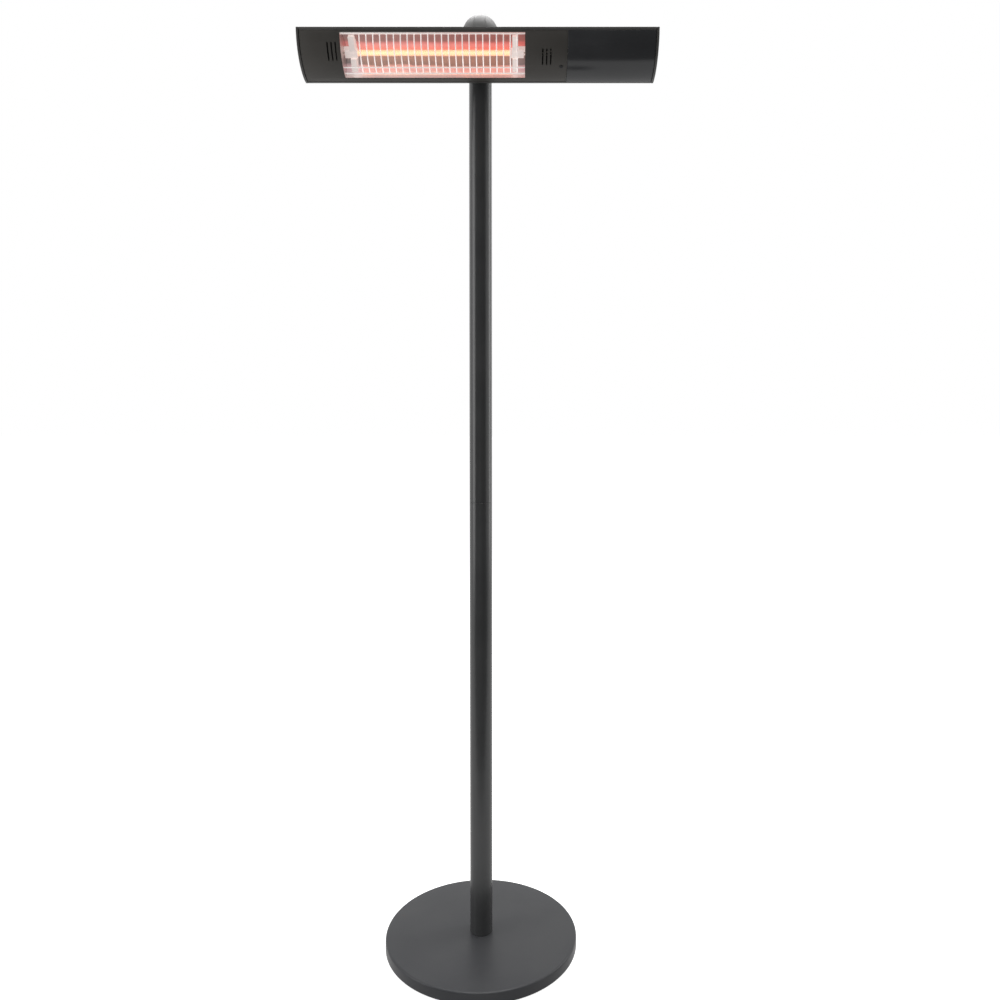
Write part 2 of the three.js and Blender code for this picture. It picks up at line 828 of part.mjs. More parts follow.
function bulkhead() {
  const [lip, ...wall] = bodyHalfOutline(bodyWall + fit);
  const corner = [(lip[1] - faceHalf) / Math.tan(rad(bodySlope)), faceHalf];
  const upper = [corner, ...wall];
  const front = faceLine(faceHalf, fasciaSink + fasciaWall + fit).reverse();
  const plate = prism([...upper, ...mirrored(upper), ...front], bulkheadX, bulkheadX + bulkheadWall);
  const holes = [
    [lampY, lampZ],
    [leadRow.y, leadRow.z],
  ].map(([y, z]) => rod(leadRadius + 1, [bulkheadX - 1, y, z], [bulkheadX + bulkheadWall + 1, y, z], 12));
  const corners = [1, -1].map((side) =>
    rod(
      channelRadius + fit,
      [bulkheadX - 1, channel.y, side * channel.z],
      [bulkheadX + bulkheadWall + 1, channel.y, side * channel.z],
      14
    )
  );
  return cut(plate, ...holes, ...corners);
}

const terminalLeft = terminal.x - terminal.length / 2;

function leftLead() {
  const start = windowMiddle - socketOuter - fit;
  const { y, z } = leadRow;
  const points = [
    [start, lampY, lampZ],
    [start - 12, lampY, lampZ],
    [start - 22, lampY + 12, lampZ - 6],
    [start - 20, y - 6, z + 2],
    [start - 6, y, z],
    [start + 60, y, z],
    [windowMiddle, y, z],
    [bulkheadX - 30, y, z],
    [bulkheadX + 12, y, z],
    [bulkheadX + 40, boardY + 2, z + 6],
    [terminalLeft - 16, boardY - terminal.depth / 2, -6],
    [terminalLeft - fit, boardY - terminal.depth / 2, -6],
  ];
  return barAlong(points, leadRadius, 6, 36);
}

function rightLead() {
  const start = windowMiddle + socketOuter + fit;
  const points = [
    [start, lampY, lampZ],
    [start + 14, lampY, lampZ],
    [bulkheadX + 16, lampY, lampZ],
    [bulkheadX + 46, lampY + 6, lampZ + 3],
    [terminalLeft - 16, boardY - terminal.depth / 2, 5],
    [terminalLeft - fit, boardY - terminal.depth / 2, 5],
  ];
  return barAlong(points, leadRadius, 6, 18);
}

function receiverLens() {
  const front = faceY(lensZ, fasciaSink) - 0.6;
  return turnedAlong(
    "y",
    [lensX, front, lensZ],
    [
      [0, 0],
      [lensRadius * 0.7, 0],
      [lensRadius, 0.8],
      [lensRadius, lensLength],
      [0, lensLength],
    ],
    20
  );
}

function boardTray() {
  const back = bodyDepth - bodyWall;
  const floor = block([trayLeft, back - trayWall, -trayHalf], [trayRight, back - seat, trayHalf]);
  const rails = [1, -1].map((side) => {
    const [low, high] = side < 0 ? [-trayHalf, -trayHalf + railWall] : [trayHalf - railWall, trayHalf];
    return block([trayLeft, boardY + boardWall + seat, low], [trayRight, back - trayWall + 1, high]);
  });
  return join(floor, ...rails);
}

function controlBoard() {
  return block(
    [trayLeft + boardMargin, boardY, -trayHalf],
    [trayRight - boardMargin, boardY + boardWall, trayHalf]
  );
}

// Box-shaped component on the front of the board.
function onBoard({ x, length, height, depth }) {
  return block(
    [x - length / 2, boardY - depth, -height / 2],
    [x + length / 2, boardY - seat, height / 2]
  );
}

function tipOverSwitch() {
  const back = bodyDepth - bodyWall;
  const { x, length, height, depth } = tipSwitch;
  return block([x - length / 2, back - depth, 0], [x + length / 2, back - seat, height]);
}

function cableGland() {
  const out = bodyDepth + seat;
  return turnedAlong(
    "y",
    [glandX, out - bodyWall - glandNutHeight - 2, 0],
    [
      [0, 0],
      [glandThread, 0],
      [glandThread, bodyWall + glandNutHeight + 2],
      [glandRadius, bodyWall + glandNutHeight + 2],
      [glandRadius, bodyWall + glandNutHeight + 2 + glandFlange],
      [glandRadius * 0.86, bodyWall + glandNutHeight + 3 + glandFlange],
      [glandRadius * 0.86, bodyWall + glandNutHeight + glandDome - 2],
      [glandRadius * 0.6, bodyWall + glandNutHeight + 2 + glandDome],
      [glandRadius * 0.4, bodyWall + glandNutHeight + 2 + glandDome],
      [glandRadius * 0.4, bodyWall + glandNutHeight + glandDome],
      [0, bodyWall + glandNutHeight + glandDome],
    ],
    20
  );
}

function glandNut() {
  const back = bodyDepth - bodyWall;
  return cut(
    rod(glandRadius, [glandX, back - glandNutHeight, 0], [glandX, back - seat, 0], 6),
    rod(glandThread + fit, [glandX, back - glandNutHeight - 1, 0], [glandX, back + 1, 0], 20)
  );
}

const bezelOuter = headHalf + seat + bezelWall;

function switchBody() {
  const well = block(
    [bezelOuter - wellDepth, switchY - wellHalfDepth, -wellHalf],
    [bezelOuter + 1, switchY + wellHalfDepth, wellHalf]
  );
  const shape = join(
    block(
      [headHalf + seat, switchY - bezelHalfDepth, -bezelHalf],
      [bezelOuter, switchY + bezelHalfDepth, bezelHalf]
    ),
    block(
      [headHalf - switchBodyLength, switchY - switchBodyHalfDepth, -switchBodyHalf],
      [headHalf + 0.5, switchY + switchBodyHalfDepth, switchBodyHalf]
    )
  );
  return cut(shape, well);
}

// Paddle with two faces that meet over its pivot; at rest its upper half is pressed in.
function powerRocker() {
  const pivot = bezelOuter - rockerPivotDepth;
  const front = rockerPivotDepth + 0.2;
  const back = rockerPivotDepth - wellDepth + 0.8;
  const half = wellHalf - 1.2;
  const rise = half * Math.tan(rad(rockerAngle));
  const upper = [
    [front + rise, half],
    [front + rise - 4, half],
    [back, 2.6],
  ];
  const outline = [[front, 0], ...upper, ...upper.map(([x, z]) => [x, -z]).reverse()];
  const shape = new THREE.Shape(outline.map(([x, z]) => new THREE.Vector2(x, z)));
  const width = 2 * (wellHalfDepth - 0.4);
  const geometry = new THREE.ExtrudeGeometry(shape, { depth: width, bevelEnabled: false });
  geometry.rotateZ(rad(rockerAngle)).rotateX(Math.PI / 2);
  return solid(geometry.translate(pivot, switchY + width / 2, 0));
}

// ---------------------------------------------------------------- assembly

const finishes = {
  powderCoat: { color: 0x4c4d4f, roughness: 0.75, metalness: 0.1 },
  poleCoat: { color: 0x303234, roughness: 0.45, metalness: 0.2 },
  castIron: { color: 0x3a3a3a, roughness: 0.9, metalness: 0.6 },
  rubber: { color: 0x1c1c1c, roughness: 0.9, metalness: 0 },
  zincSteel: { color: 0xa9abad, roughness: 0.4, metalness: 0.9 },
  greyBall: { color: 0x838484, roughness: 0.5, metalness: 0.2 },
  bodyCoat: { color: 0x3c3a38, roughness: 0.45, metalness: 0.3 },
  fasciaCoat: { color: 0x3d3a37, roughness: 0.5, metalness: 0.3 },
  glossCover: { color: 0x242629, roughness: 0.12, metalness: 0 },
  mirrorAluminium: { color: 0xe4e2df, roughness: 0.12, metalness: 1 },
  ceramic: { color: 0xf1ece2, roughness: 0.7, metalness: 0 },
  quartz: { color: 0xffd9a0, roughness: 0.05, metalness: 0 },
  glow: { color: 0xffb040, roughness: 0.5, metalness: 0 },
  stainless: { color: 0xd8d6d2, roughness: 0.25, metalness: 1 },
  darkPlastic: { color: 0x1d1d1f, roughness: 0.5, metalness: 0 },
  fibre: { color: 0x6b4a32, roughness: 0.8, metalness: 0 },
  board: { color: 0x245a3a, roughness: 0.5, metalness: 0 },
  leadSleeve: { color: 0xd9d4c8, roughness: 0.8, metalness: 0 },
};

const group = new THREE.Group();

function add(parent, name, piece, finish) {
  const mesh = new THREE.Mesh(geometryOf(piece), new THREE.MeshStandardMaterial(finishes[finish]));
  mesh.name = name;
  parent.add(mesh);
}

// stand
add(group, "base_cover", baseCover(), "powderCoat");
add(group, "base_weight", baseWeight(), "castIron");
range(footCount).forEach((i) => add(group, `base_foot_${i + 1}`, baseFoot(i), "rubber"));
add(group, "pole_bolt", poleBolt(), "zincSteel");
add(group, "pole_bolt_washer", poleBoltWasher(), "zincSteel");
add(group, "pole_end_plug", poleEndPlug(), "zincSteel");
const lowerTube = poleTube(baseHeight, poleSplit - fit / 2, [joinerScrews[0]]);
const upperTube = poleTube(poleSplit + fit / 2, poleTop, [joinerScrews[1], hubScrewHeight]);
add(group, "pole_lower_tube", lowerTube, "poleCoat");
add(group, "pole_upper_tube", upperTube, "poleCoat");
add(group, "pole_joiner", poleJoiner(), "zincSteel");
joinerScrews.forEach((z, i) => add(group, `joiner_screw_${i + 1}`, poleScrew(z, 5), "zincSteel"));
add(group, "tilt_hub", tiltHub(), "greyBall");
add(group, "hub_screw", poleScrew(hubScrewHeight, 14), "zincSteel");

// tilting bracket
const head = new THREE.Group();
head.position.set(0, 0, ballHeight);
head.rotation.x = rad(tiltRest);
group.add(head);
add(head, "tilt_fork", tiltFork(), "greyBall");
add(head, "tilt_bolt", tiltBolt(), "zincSteel");
add(head, "tilt_nut", tiltNut(), "zincSteel");
add(head, "friction_washer_left", frictionRing(-1), "fibre");
add(head, "friction_washer_right", frictionRing(1), "fibre");

// heater head
const face = new THREE.Group();
face.position.set(0, -headStand, headLift);
head.add(face);
add(face, "bracket_plate", bracketPlate(), "zincSteel");
backPlateScrews.forEach((x, i) => add(face, `bracket_screw_${i + 1}`, bracketScrew(x), "zincSteel"));
add(face, "head_housing", headHousing(), "bodyCoat");
add(face, "front_fascia", frontFascia(), "fasciaCoat");
add(face, "control_cover", controlCover(), "glossCover");
add(face, "guard_grille", guardGrille(), "stainless");
add(face, "reflector", reflector(), "mirrorAluminium");
add(face, "lamp_tube", lampTube(), "quartz");
add(face, "lamp_filament", lampFilament(), "glow");
for (const [word, side] of [["left", -1], ["right", 1]]) {
  add(face, `end_cap_${word}`, endCap(side), "bodyCoat");
  add(face, `end_gasket_${word}`, endGasket(side), "rubber");
  add(face, `cap_screw_${word}_upper`, capScrew(side, 1), "zincSteel");
  add(face, `cap_screw_${word}_lower`, capScrew(side, -1), "zincSteel");
  add(face, `reflector_end_${word}`, reflectorEnd(side), "mirrorAluminium");
  add(face, `lamp_holder_${word}`, lampHolder(side), "ceramic");
  add(face, `lamp_socket_${word}`, lampSocket(side), "ceramic");
}
add(face, "lamp_lead_left", leftLead(), "leadSleeve");
add(face, "lamp_lead_right", rightLead(), "leadSleeve");
add(face, "bulkhead", bulkhead(), "stainless");
add(face, "receiver_lens", receiverLens(), "darkPlastic");
add(face, "board_tray", boardTray(), "darkPlastic");
add(face, "control_board", controlBoard(), "board");
add(face, "relay_module", onBoard(relay), "darkPlastic");
add(face, "terminal_block", onBoard(terminal), "darkPlastic");
add(face, "tip_over_switch", tipOverSwitch(), "darkPlastic");
add(face, "cable_gland", cableGland(), "darkPlastic");
add(face, "gland_nut", glandNut(), "darkPlastic");
add(face, "power_switch_body", switchBody(), "darkPlastic");
add(face, "power_rocker", powerRocker(), "darkPlastic");

export default group;
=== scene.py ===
import json
import math
import bmesh
import bpy
from mathutils import Matrix, Vector


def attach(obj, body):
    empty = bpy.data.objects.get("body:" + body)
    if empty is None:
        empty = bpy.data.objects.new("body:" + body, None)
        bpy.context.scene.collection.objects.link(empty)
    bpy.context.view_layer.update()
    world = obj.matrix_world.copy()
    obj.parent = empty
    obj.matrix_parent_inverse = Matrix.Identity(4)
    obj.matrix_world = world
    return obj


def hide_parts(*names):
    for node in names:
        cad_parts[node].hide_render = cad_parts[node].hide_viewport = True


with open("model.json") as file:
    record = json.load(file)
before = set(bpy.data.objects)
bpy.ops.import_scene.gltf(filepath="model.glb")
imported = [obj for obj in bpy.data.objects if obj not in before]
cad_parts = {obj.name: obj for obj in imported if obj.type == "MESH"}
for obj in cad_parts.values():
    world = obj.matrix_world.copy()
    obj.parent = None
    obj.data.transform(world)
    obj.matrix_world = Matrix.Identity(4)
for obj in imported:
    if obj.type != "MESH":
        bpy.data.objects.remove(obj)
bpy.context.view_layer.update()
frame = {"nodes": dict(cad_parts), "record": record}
print("frame loaded:", len(frame["nodes"]), "nodes")

rad = math.radians
fit = 0.0003  # room between two parts
past = 0.001  # how far a cutting tool reaches beyond what it cuts
tiny = 1e-6  # two places closer than this are the same

# where the photograph was taken from
camera = {
    "place": (0.0834, -1.9565, 1.2165), "pitch": 1.479, "lens": 31.176,
    "shift": (-0.0177, -0.0668), "sensor": 36,
}

cameraData = bpy.data.cameras.new("photoCamera")
cameraObject = bpy.data.objects.new("photoCamera", cameraData)
bpy.context.scene.collection.objects.link(cameraObject)
cameraObject.location = camera["place"]
cameraObject.rotation_euler = (rad(90 - camera["pitch"]), 0, 0)
cameraData.sensor_width = camera["sensor"]
cameraData.lens = camera["lens"]
cameraData.shift_x, cameraData.shift_y = camera["shift"]
bpy.context.scene.camera = cameraObject


def shift(x, y, z):
    return Matrix.Translation((x, y, z))


def turn(degrees, axis):
    return Matrix.Rotation(rad(degrees), 4, axis)


def spread(low, high, count):
    return [low + (high - low) * i / (count - 1) for i in range(count)]


def clearSelection():
    if bpy.context.object and bpy.context.object.mode != "OBJECT":
        bpy.ops.object.mode_set(mode="OBJECT")
    bpy.ops.object.select_all(action="DESELECT")


def selectOnly(piece):
    clearSelection()
    bpy.context.view_layer.objects.active = piece
    piece.select_set(True)


def applyPlace(piece):
    selectOnly(piece)
    bpy.ops.object.transform_apply(location=True, rotation=True, scale=True)


def nameNew(name):
    piece = bpy.context.object
    piece.name = name
    piece.data.name = name
    applyPlace(piece)
    return piece


def moveTo(piece, matrix):
    piece.matrix_world = matrix @ piece.matrix_world
    applyPlace(piece)
    return piece


def copyOf(piece, name, matrix):
    twin = piece.copy()
    twin.data = piece.data.copy()
    twin.name = name
    twin.data.name = name
    bpy.context.scene.collection.objects.link(twin)
    return moveTo(twin, matrix)


def edit(piece):
    selectOnly(piece)
    bpy.ops.object.mode_set(mode="EDIT")
    bpy.ops.mesh.select_mode(type="VERT")
    bpy.ops.mesh.select_all(action="SELECT")


def leaveEdit():
    bpy.ops.object.mode_set(mode="OBJECT")


# in edit mode, select the vertices, edges or faces that pass a test
def pick(kind, test):
    bpy.ops.mesh.select_mode(type=kind)
    bpy.ops.mesh.select_all(action="DESELECT")
    data = bpy.context.edit_object.data
    mesh = bmesh.from_edit_mesh(data)
    parts = {"VERT": mesh.verts, "EDGE": mesh.edges, "FACE": mesh.faces}[kind]
    for part in parts:
        if test(part):
            part.select_set(True)
    mesh.select_flush_mode()
    bmesh.update_edit_mesh(data)


# test for an edge or face that lies wholly at one x
def atX(x):
    return lambda part: all(abs(vert.co.x - x) < tiny for vert in part.verts)


def middleOf(part):
    return sum((vert.co for vert in part.verts), Vector()) / len(part.verts)


# merge doubles and turn all faces outwards
def outward(piece):
    edit(piece)
    bpy.ops.mesh.remove_doubles(threshold=tiny)
    bpy.ops.mesh.normals_make_consistent(inside=False)
    leaveEdit()
    return piece


def modify(piece, kind, **settings):
    selectOnly(piece)
    modifier = piece.modifiers.new(kind.lower(), kind)
    for key, value in settings.items():
        setattr(modifier, key, value)
    bpy.ops.object.modifier_apply(modifier=modifier.name)
    return piece


def roundEdges(piece, width, segments=2, angle=40):
    return modify(
        piece, "BEVEL", width=width, segments=segments, limit_method="ANGLE", angle_limit=rad(angle)
    )


# round the edges of a block that run along an axis: 0 is x, 1 is y, 2 is z
def roundAlong(piece, axis, width, segments):
    edit(piece)
    pick("EDGE", lambda edge: abs((edge.verts[0].co - edge.verts[1].co).normalized()[axis]) > 0.9)
    bpy.ops.mesh.bevel(offset=width, segments=segments)
    leaveEdit()


# round the edges around the faces that pass a test
def roundRim(piece, test, width, segments):
    edit(piece)
    pick("FACE", test)
    bpy.ops.mesh.region_to_loop()
    bpy.ops.mesh.bevel(offset=width, segments=segments)
    leaveEdit()


def combine(piece, tool, how):
    modify(piece, "BOOLEAN", object=tool, operation=how, solver="EXACT")
    bpy.data.objects.remove(tool)
    return piece


def cutWith(piece, *tools):
    for tool in tools:
        combine(piece, tool, "DIFFERENCE")
    return piece


def joinWith(piece, *tools):
    for tool in tools:
        combine(piece, tool, "UNION")
    return piece


def cube(name, low, high):
    clearSelection()
    middle = [(a + b) / 2 for a, b in zip(low, high)]
    size = [b - a for a, b in zip(low, high)]
    bpy.ops.mesh.primitive_cube_add(size=1, location=middle, scale=size)
    return nameNew(name)


# round bar between two points
def bar(name, radius, start, end, sides=32):
    clearSelection()
    along = Vector(end) - Vector(start)
    middle = (Vector(end) + Vector(start)) / 2
    aim = along.to_track_quat("Z", "Y").to_euler()
    bpy.ops.mesh.primitive_cylinder_add(
        vertices=sides, radius=radius, depth=along.length, location=middle, rotation=aim
    )
    return nameNew(name)


# a circle drawn out ring by ring about Z; a closed profile ends where it began
def turned(name, profile, sides=64, closed=False):
    clearSelection()
    radius, height = profile[0]
    bpy.ops.mesh.primitive_circle_add(vertices=sides, radius=radius, location=(0, 0, height))
    piece = nameNew(name)
    edit(piece)
    if not closed:
        bpy.ops.mesh.edge_face_add()
    for newRadius, newHeight in profile[1:] + profile[:1] * closed:
        bpy.ops.mesh.extrude_region_move(
            TRANSFORM_OT_translate={"value": (0, 0, newHeight - height)}
        )
        factor = newRadius / radius
        bpy.ops.transform.resize(value=(factor, factor, 1), center_override=(0, 0, newHeight))
        radius, height = newRadius, newHeight
    leaveEdit()
    return outward(piece)


# one edge along X, drawn out step by step through (y, z) points
def drawnEdge(name, outline, low, high):
    clearSelection()
    bpy.ops.mesh.primitive_plane_add(size=1, location=(0, 0, 0))
    piece = nameNew(name)
    edit(piece)
    pick("VERT", lambda vert: vert.co.y > 0)
    bpy.ops.mesh.delete(type="VERT")
    half = 0.5  # half the width of the new plane
    for side, x in ((1, high), (-1, low)):
        pick("VERT", lambda vert: vert.co.x * side > 0)
        bpy.ops.transform.translate(value=(x - side * half, half + outline[0][0], outline[0][1]))
    bpy.ops.mesh.select_all(action="SELECT")
    bpy.ops.mesh.select_mode(type="EDGE")
    for (y, z), (nextY, nextZ) in zip(outline, outline[1:]):
        bpy.ops.mesh.extrude_region_move(
            TRANSFORM_OT_translate={"value": (0, nextY - y, nextZ - z)}
        )
    leaveEdit()
    return piece


# solid of one (y, z) section along X
def sectionBar(name, outline, low, high):
    piece = outward(drawnEdge(name, outline + outline[:1], low, high))
    edit(piece)
    for x in (low, high):
        pick("EDGE", atX(x))
        bpy.ops.mesh.edge_face_add()
    leaveEdit()
    return outward(piece)


allPieces = []


def finished(piece, body, slotName, replaced, smooth=35):
    selectOnly(piece)
    bpy.ops.object.shade_smooth_by_angle(angle=rad(smooth))
    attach(piece, body)
    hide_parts(*replaced)
    allPieces.append((piece, slotName))
    return piece


# the base stands on the floor, its middle at the origin
base = {
    "radius": 0.217, "height": 0.026, "edge": 0.005, "wall": 0.0015, "hole": 0.007,
    "rings": (0.06, 0.14),  # circles that carry the flat top
    "hem": 0.002, "hemTuck": 0.0005, "hemRound": 0.0006, "hemRoll": 0.0008, "hemRise": (0.0022, 0.003),
    "sides": 180,
}
foot = {
    "radius": 0.015, "height": 0.003, "circle": 0.18, "round": 0.0012, "chamfer": 0.0003,
    "grooves": [
        (0.0015, 0.0008), (0.0045, 0.0008), (0.0052, 0), (0.0078, 0), (0.0085, 0.0007),
        (0.01, 0.0007), (0.0107, 0),
    ],
}


def quarterRound(centreRadius, centreHeight, size):
    return [
        (centreRadius + size * math.sin(angle), centreHeight + size * math.cos(angle))
        for angle in spread(0, rad(90), 8)
    ]


def makeBaseCover():
    radius, height, hem = base["radius"], base["height"], base["hem"]
    inner = radius - base["wall"]
    centre = (radius - base["edge"], height - base["edge"])
    rolled = inner - base["hemRoll"]
    profile = [(base["hole"], height)] + [(ring, height) for ring in base["rings"]]
    profile += quarterRound(*centre, base["edge"])
    profile += [
        (radius, hem + base["hemRound"]), (radius - base["hemTuck"], hem),
        (inner - base["hemTuck"], hem), (rolled, hem + base["hemRound"]),
        (rolled, hem + base["hemRise"][0]), (inner, hem + base["hemRise"][1]),
    ]
    profile += quarterRound(*centre, base["edge"] - base["wall"])[::-1]
    profile += [(base["hole"], height - base["wall"])]
    cover = turned("baseCover", profile, base["sides"], closed=True)
    finished(cover, "stand", "base_coat", ["base_cover"])


def makeFeet():
    radius, height, chamfer = foot["radius"], foot["height"], foot["chamfer"]
    profile = foot["grooves"] + [(radius - foot["round"], 0), (radius, foot["round"])]
    profile += [(radius, height - chamfer), (radius - chamfer, height)]
    pattern = turned("footPattern", profile, 40)
    for i in range(4):
        place = turn(45 + 90 * i, "Z") @ shift(foot["circle"], 0, 0)
        twin = copyOf(pattern, f"foot{i + 1}", place)
        finished(twin, "stand", "foot_rubber", [f"base_foot_{i + 1}"])
    bpy.data.objects.remove(pattern)


makeBaseCover()
makeFeet()
print("base done")

# the pole is two tubes that meet at a hairline seam
pole = {
    "radius": 0.0254, "wall": 0.002, "split": 1.01, "gap": 0.00015, "top": 2.001, "chamfer": 0.0004,
    "joinerScrews": (0.97, 1.05), "hubScrew": 1.9785, "sides": 96, "headGap": 0.00005,
}
largeScrew = {"shank": 0.0025, "head": 0.0046, "headHeight": 0.0026}
screwShape = {
    "tip": 0.55, "taper": 0.6, "rim": 0.3, "bulge": 0.6, "sides": 40,
    "slotReach": 0.58, "slotWidth": 0.13, "slotDepth": 0.55,
}
screwHole = largeScrew["shank"] + fit


def makeTube(name, bottom, top, holes, replaced):
    outer, inner, chamfer = pole["radius"], pole["radius"] - pole["wall"], pole["chamfer"]
    profile = [
        (inner, bottom + chamfer), (inner + chamfer, bottom), (outer - chamfer, bottom),
        (outer, bottom + chamfer), (outer, top - chamfer), (outer - chamfer, top),
        (inner + chamfer, top), (inner, top - chamfer),
    ]
    tube = turned(name, profile, pole["sides"], closed=True)
    for height in holes:
        cutWith(tube, bar("drill", screwHole, (0, 0, height), (0, outer * 1.3, height), 24))
    finished(tube, "stand", "pole_coat", [replaced])


lowerScrew, upperScrew = pole["joinerScrews"]
makeTube("poleLower", base["height"], pole["split"] - pole["gap"], [lowerScrew], "pole_lower_tube")
upperHoles = (upperScrew, pole["hubScrew"])
makeTube("poleUpper", pole["split"] + pole["gap"], pole["top"], upperHoles, "pole_upper_tube")


# pan head screw with a cross, its point at the origin and its head up Z
def makeScrew(name, kind, length):
    shank, headRadius, headHeight = kind["shank"], kind["head"], kind["headHeight"]
    profile = [
        (shank * screwShape["tip"], 0), (shank, shank * screwShape["taper"]),
        (shank, length), (headRadius, length),
    ]
    for angle in spread(0, rad(75), 6):
        rise = screwShape["rim"] + (1 - screwShape["rim"]) * math.sin(angle)
        radius = headRadius * math.cos(angle) ** screwShape["bulge"]
        profile.append((radius, length + headHeight * rise))
    screw = turned(name, profile, screwShape["sides"])
    reach, width = headRadius * screwShape["slotReach"], headRadius * screwShape["slotWidth"]
    deep = headHeight * screwShape["slotDepth"]
    for halfX, halfY in ((reach, width), (width, reach)):
        low = (-halfX, -halfY, length + headHeight - deep)
        cutWith(screw, cube("slot", low, (halfX, halfY, length + headHeight * 1.5)))
    return screw


for nodeName, height, depth in (
    ("joiner_screw_1", lowerScrew, 0.005),
    ("joiner_screw_2", upperScrew, 0.005),
    ("hub_screw", pole["hubScrew"], 0.014),
):
    screw = makeScrew(nodeName.replace("_", "") + "Fine", largeScrew, depth)
    under = pole["radius"] + pole["headGap"]
    moveTo(screw, shift(0, under - depth, height) @ turn(-90, "X"))
    finished(screw, "stand", "zinc_steel", [nodeName])
print("pole done")

# the tilt joint is a ball in three slices, with its axle along X
joint = {
    "height": 2.057, "tilt": 46, "ball": 0.04, "hubHalf": 0.012, "cheekStart": 0.0123,
    "edgeRound": 0.0003, "collar": 0.005, "collarRound": (0.0018, 0.0008, 0.0005),
    "spigot": 0.045, "spigotChamfer": 0.001,
    "neckDepth": 0.018, "neckRound": 0.004, "neckSink": 0.02,
    "bolt": 0.004, "boltHead": 0.0065, "boltHeadHeight": 0.008, "boltEnd": 0.0035, "sunk": 0.003,
    "boltChamfer": (0.0008, 0.0006), "socket": 0.004, "headRoom": 0.0007,
    "nut": 0.0074, "nutHeight": 0.0065, "nutChamfer": (0.0012, 0.0007), "nutRoom": 0.001,
    "washer": 0.018, "washerWall": 0.0015,
    "armHalf": 0.027, "armDrop": 0.01, "armRise": 0.016, "armRound": 0.002,
    "plate": (0.046, 0.005, 0.017), "plateCorner": 0.006, "plateRound": 0.0008, "plateGap": 0.0002,
    "lift": 0.006, "stand": 0.121, "depth": 0.05, "screwSpan": 0.036, "drill": 0.006, "screwTip": 0.004,
}
forkFrame = shift(0, 0, joint["height"]) @ turn(joint["tilt"], "X")
faceFrame = forkFrame @ shift(0, -joint["stand"], joint["lift"])
ballReach = joint["ball"] * 1.2


# a ball with its poles on X, cut square to X at each given place; side says what is cleared
def ballSlice(name, cuts):
    clearSelection()
    bpy.ops.mesh.primitive_uv_sphere_add(
        segments=96, ring_count=48, radius=joint["ball"], rotation=(0, rad(90), 0)
    )
    piece = nameNew(name)
    for x, side in cuts:
        edit(piece)
        bpy.ops.mesh.bisect(
            plane_co=(x, 0, 0), plane_no=(side, 0, 0), use_fill=True, clear_outer=True
        )
        pick("EDGE", atX(x))
        bpy.ops.mesh.bevel(offset=joint["edgeRound"], segments=2)
        leaveEdit()
    return outward(piece)


def makeHub():
    half, height, top = joint["hubHalf"], joint["height"], pole["top"]
    hub = ballSlice("tiltHubFine", [(half, 1), (-half, -1)])
    moveTo(hub, shift(0, 0, height))
    collarTop = top + joint["collar"]
    neck = cube(
        "neck", (-half, -joint["neckDepth"], collarTop - past),
        (half, joint["neckDepth"], height - joint["neckSink"]),
    )
    roundAlong(neck, 2, joint["neckRound"], 5)
    outer, inner = pole["radius"], pole["radius"] - pole["wall"] - fit
    spigotEnd, chamfer = top - joint["spigot"], joint["spigotChamfer"]
    edge, bendDown, bendIn = joint["collarRound"]
    profile = [
        (inner - chamfer, spigotEnd), (inner, spigotEnd + chamfer), (inner, top), (outer, top),
        (outer, collarTop - edge), (outer - bendIn, collarTop - bendDown), (outer - edge, collarTop),
    ]
    joinWith(hub, neck, turned("collar", profile, pole["sides"]))
    bore = bar("bore", joint["bolt"] + fit, (-ballReach, 0, height), (ballReach, 0, height))
    screwAt = pole["hubScrew"]
    cutWith(hub, bore, bar("hole", screwHole, (0, 0, screwAt), (0, ballReach, screwAt), 24))
    finished(hub, "stand", "ball_coat", ["tilt_hub"], 30)


def makeFork():
    ball, start, lift = joint["ball"], joint["cheekStart"], joint["lift"]
    back = joint["depth"] - joint["stand"]  # the back of the head lies in front of the axle
    fork = ballSlice("tiltForkFine", [(start, -1)])
    pieces = [ballSlice("cheek", [(-start, 1)])]
    for side in (-1, 1):
        low, high = sorted((side * start, side * joint["armHalf"]))
        arm = cube(
            "arm", (low, back + past, -joint["armDrop"]), (high, -ball / 2, joint["armRise"])
        )
        roundAlong(arm, 1, joint["armRound"], 4)
        pieces.append(arm)
    halfX, thick, halfZ = joint["plate"]
    plate = cube(
        "plate", (-halfX, back + joint["plateGap"], lift - halfZ), (halfX, back + thick, lift + halfZ)
    )
    roundAlong(plate, 1, joint["plateCorner"], 8)
    roundRim(plate, lambda face: face.normal.y > 0.9, joint["plateRound"], 3)
    joinWith(fork, *pieces, plate)
    headBottom = -ball + joint["boltHeadHeight"] + joint["sunk"]
    nutBottom = ball - joint["nutHeight"] - joint["sunk"]
    washerHalf = joint["hubHalf"] + joint["washerWall"]
    for name, radius, low, high, sides in (
        ("bore", joint["bolt"] + fit, -ballReach, ballReach, 32),
        ("headRecess", joint["boltHead"] + joint["headRoom"], -ballReach, headBottom, 48),
        ("nutRecess", joint["nut"] + joint["nutRoom"], nutBottom, ballReach, 48),
        ("washerRecess", joint["washer"] + fit, -washerHalf, washerHalf, 48),
    ):
        cutWith(fork, bar(name, radius, (low, 0, 0), (high, 0, 0), sides))
    for side in (-1, 1):
        x, end = side * joint["screwSpan"], back + joint["drill"]
        cutWith(fork, bar("hole", screwHole, (x, back - past, lift), (x, end, lift), 24))
    moveTo(fork, forkFrame)
    finished(fork, "head", "ball_coat", ["tilt_fork"], 30)


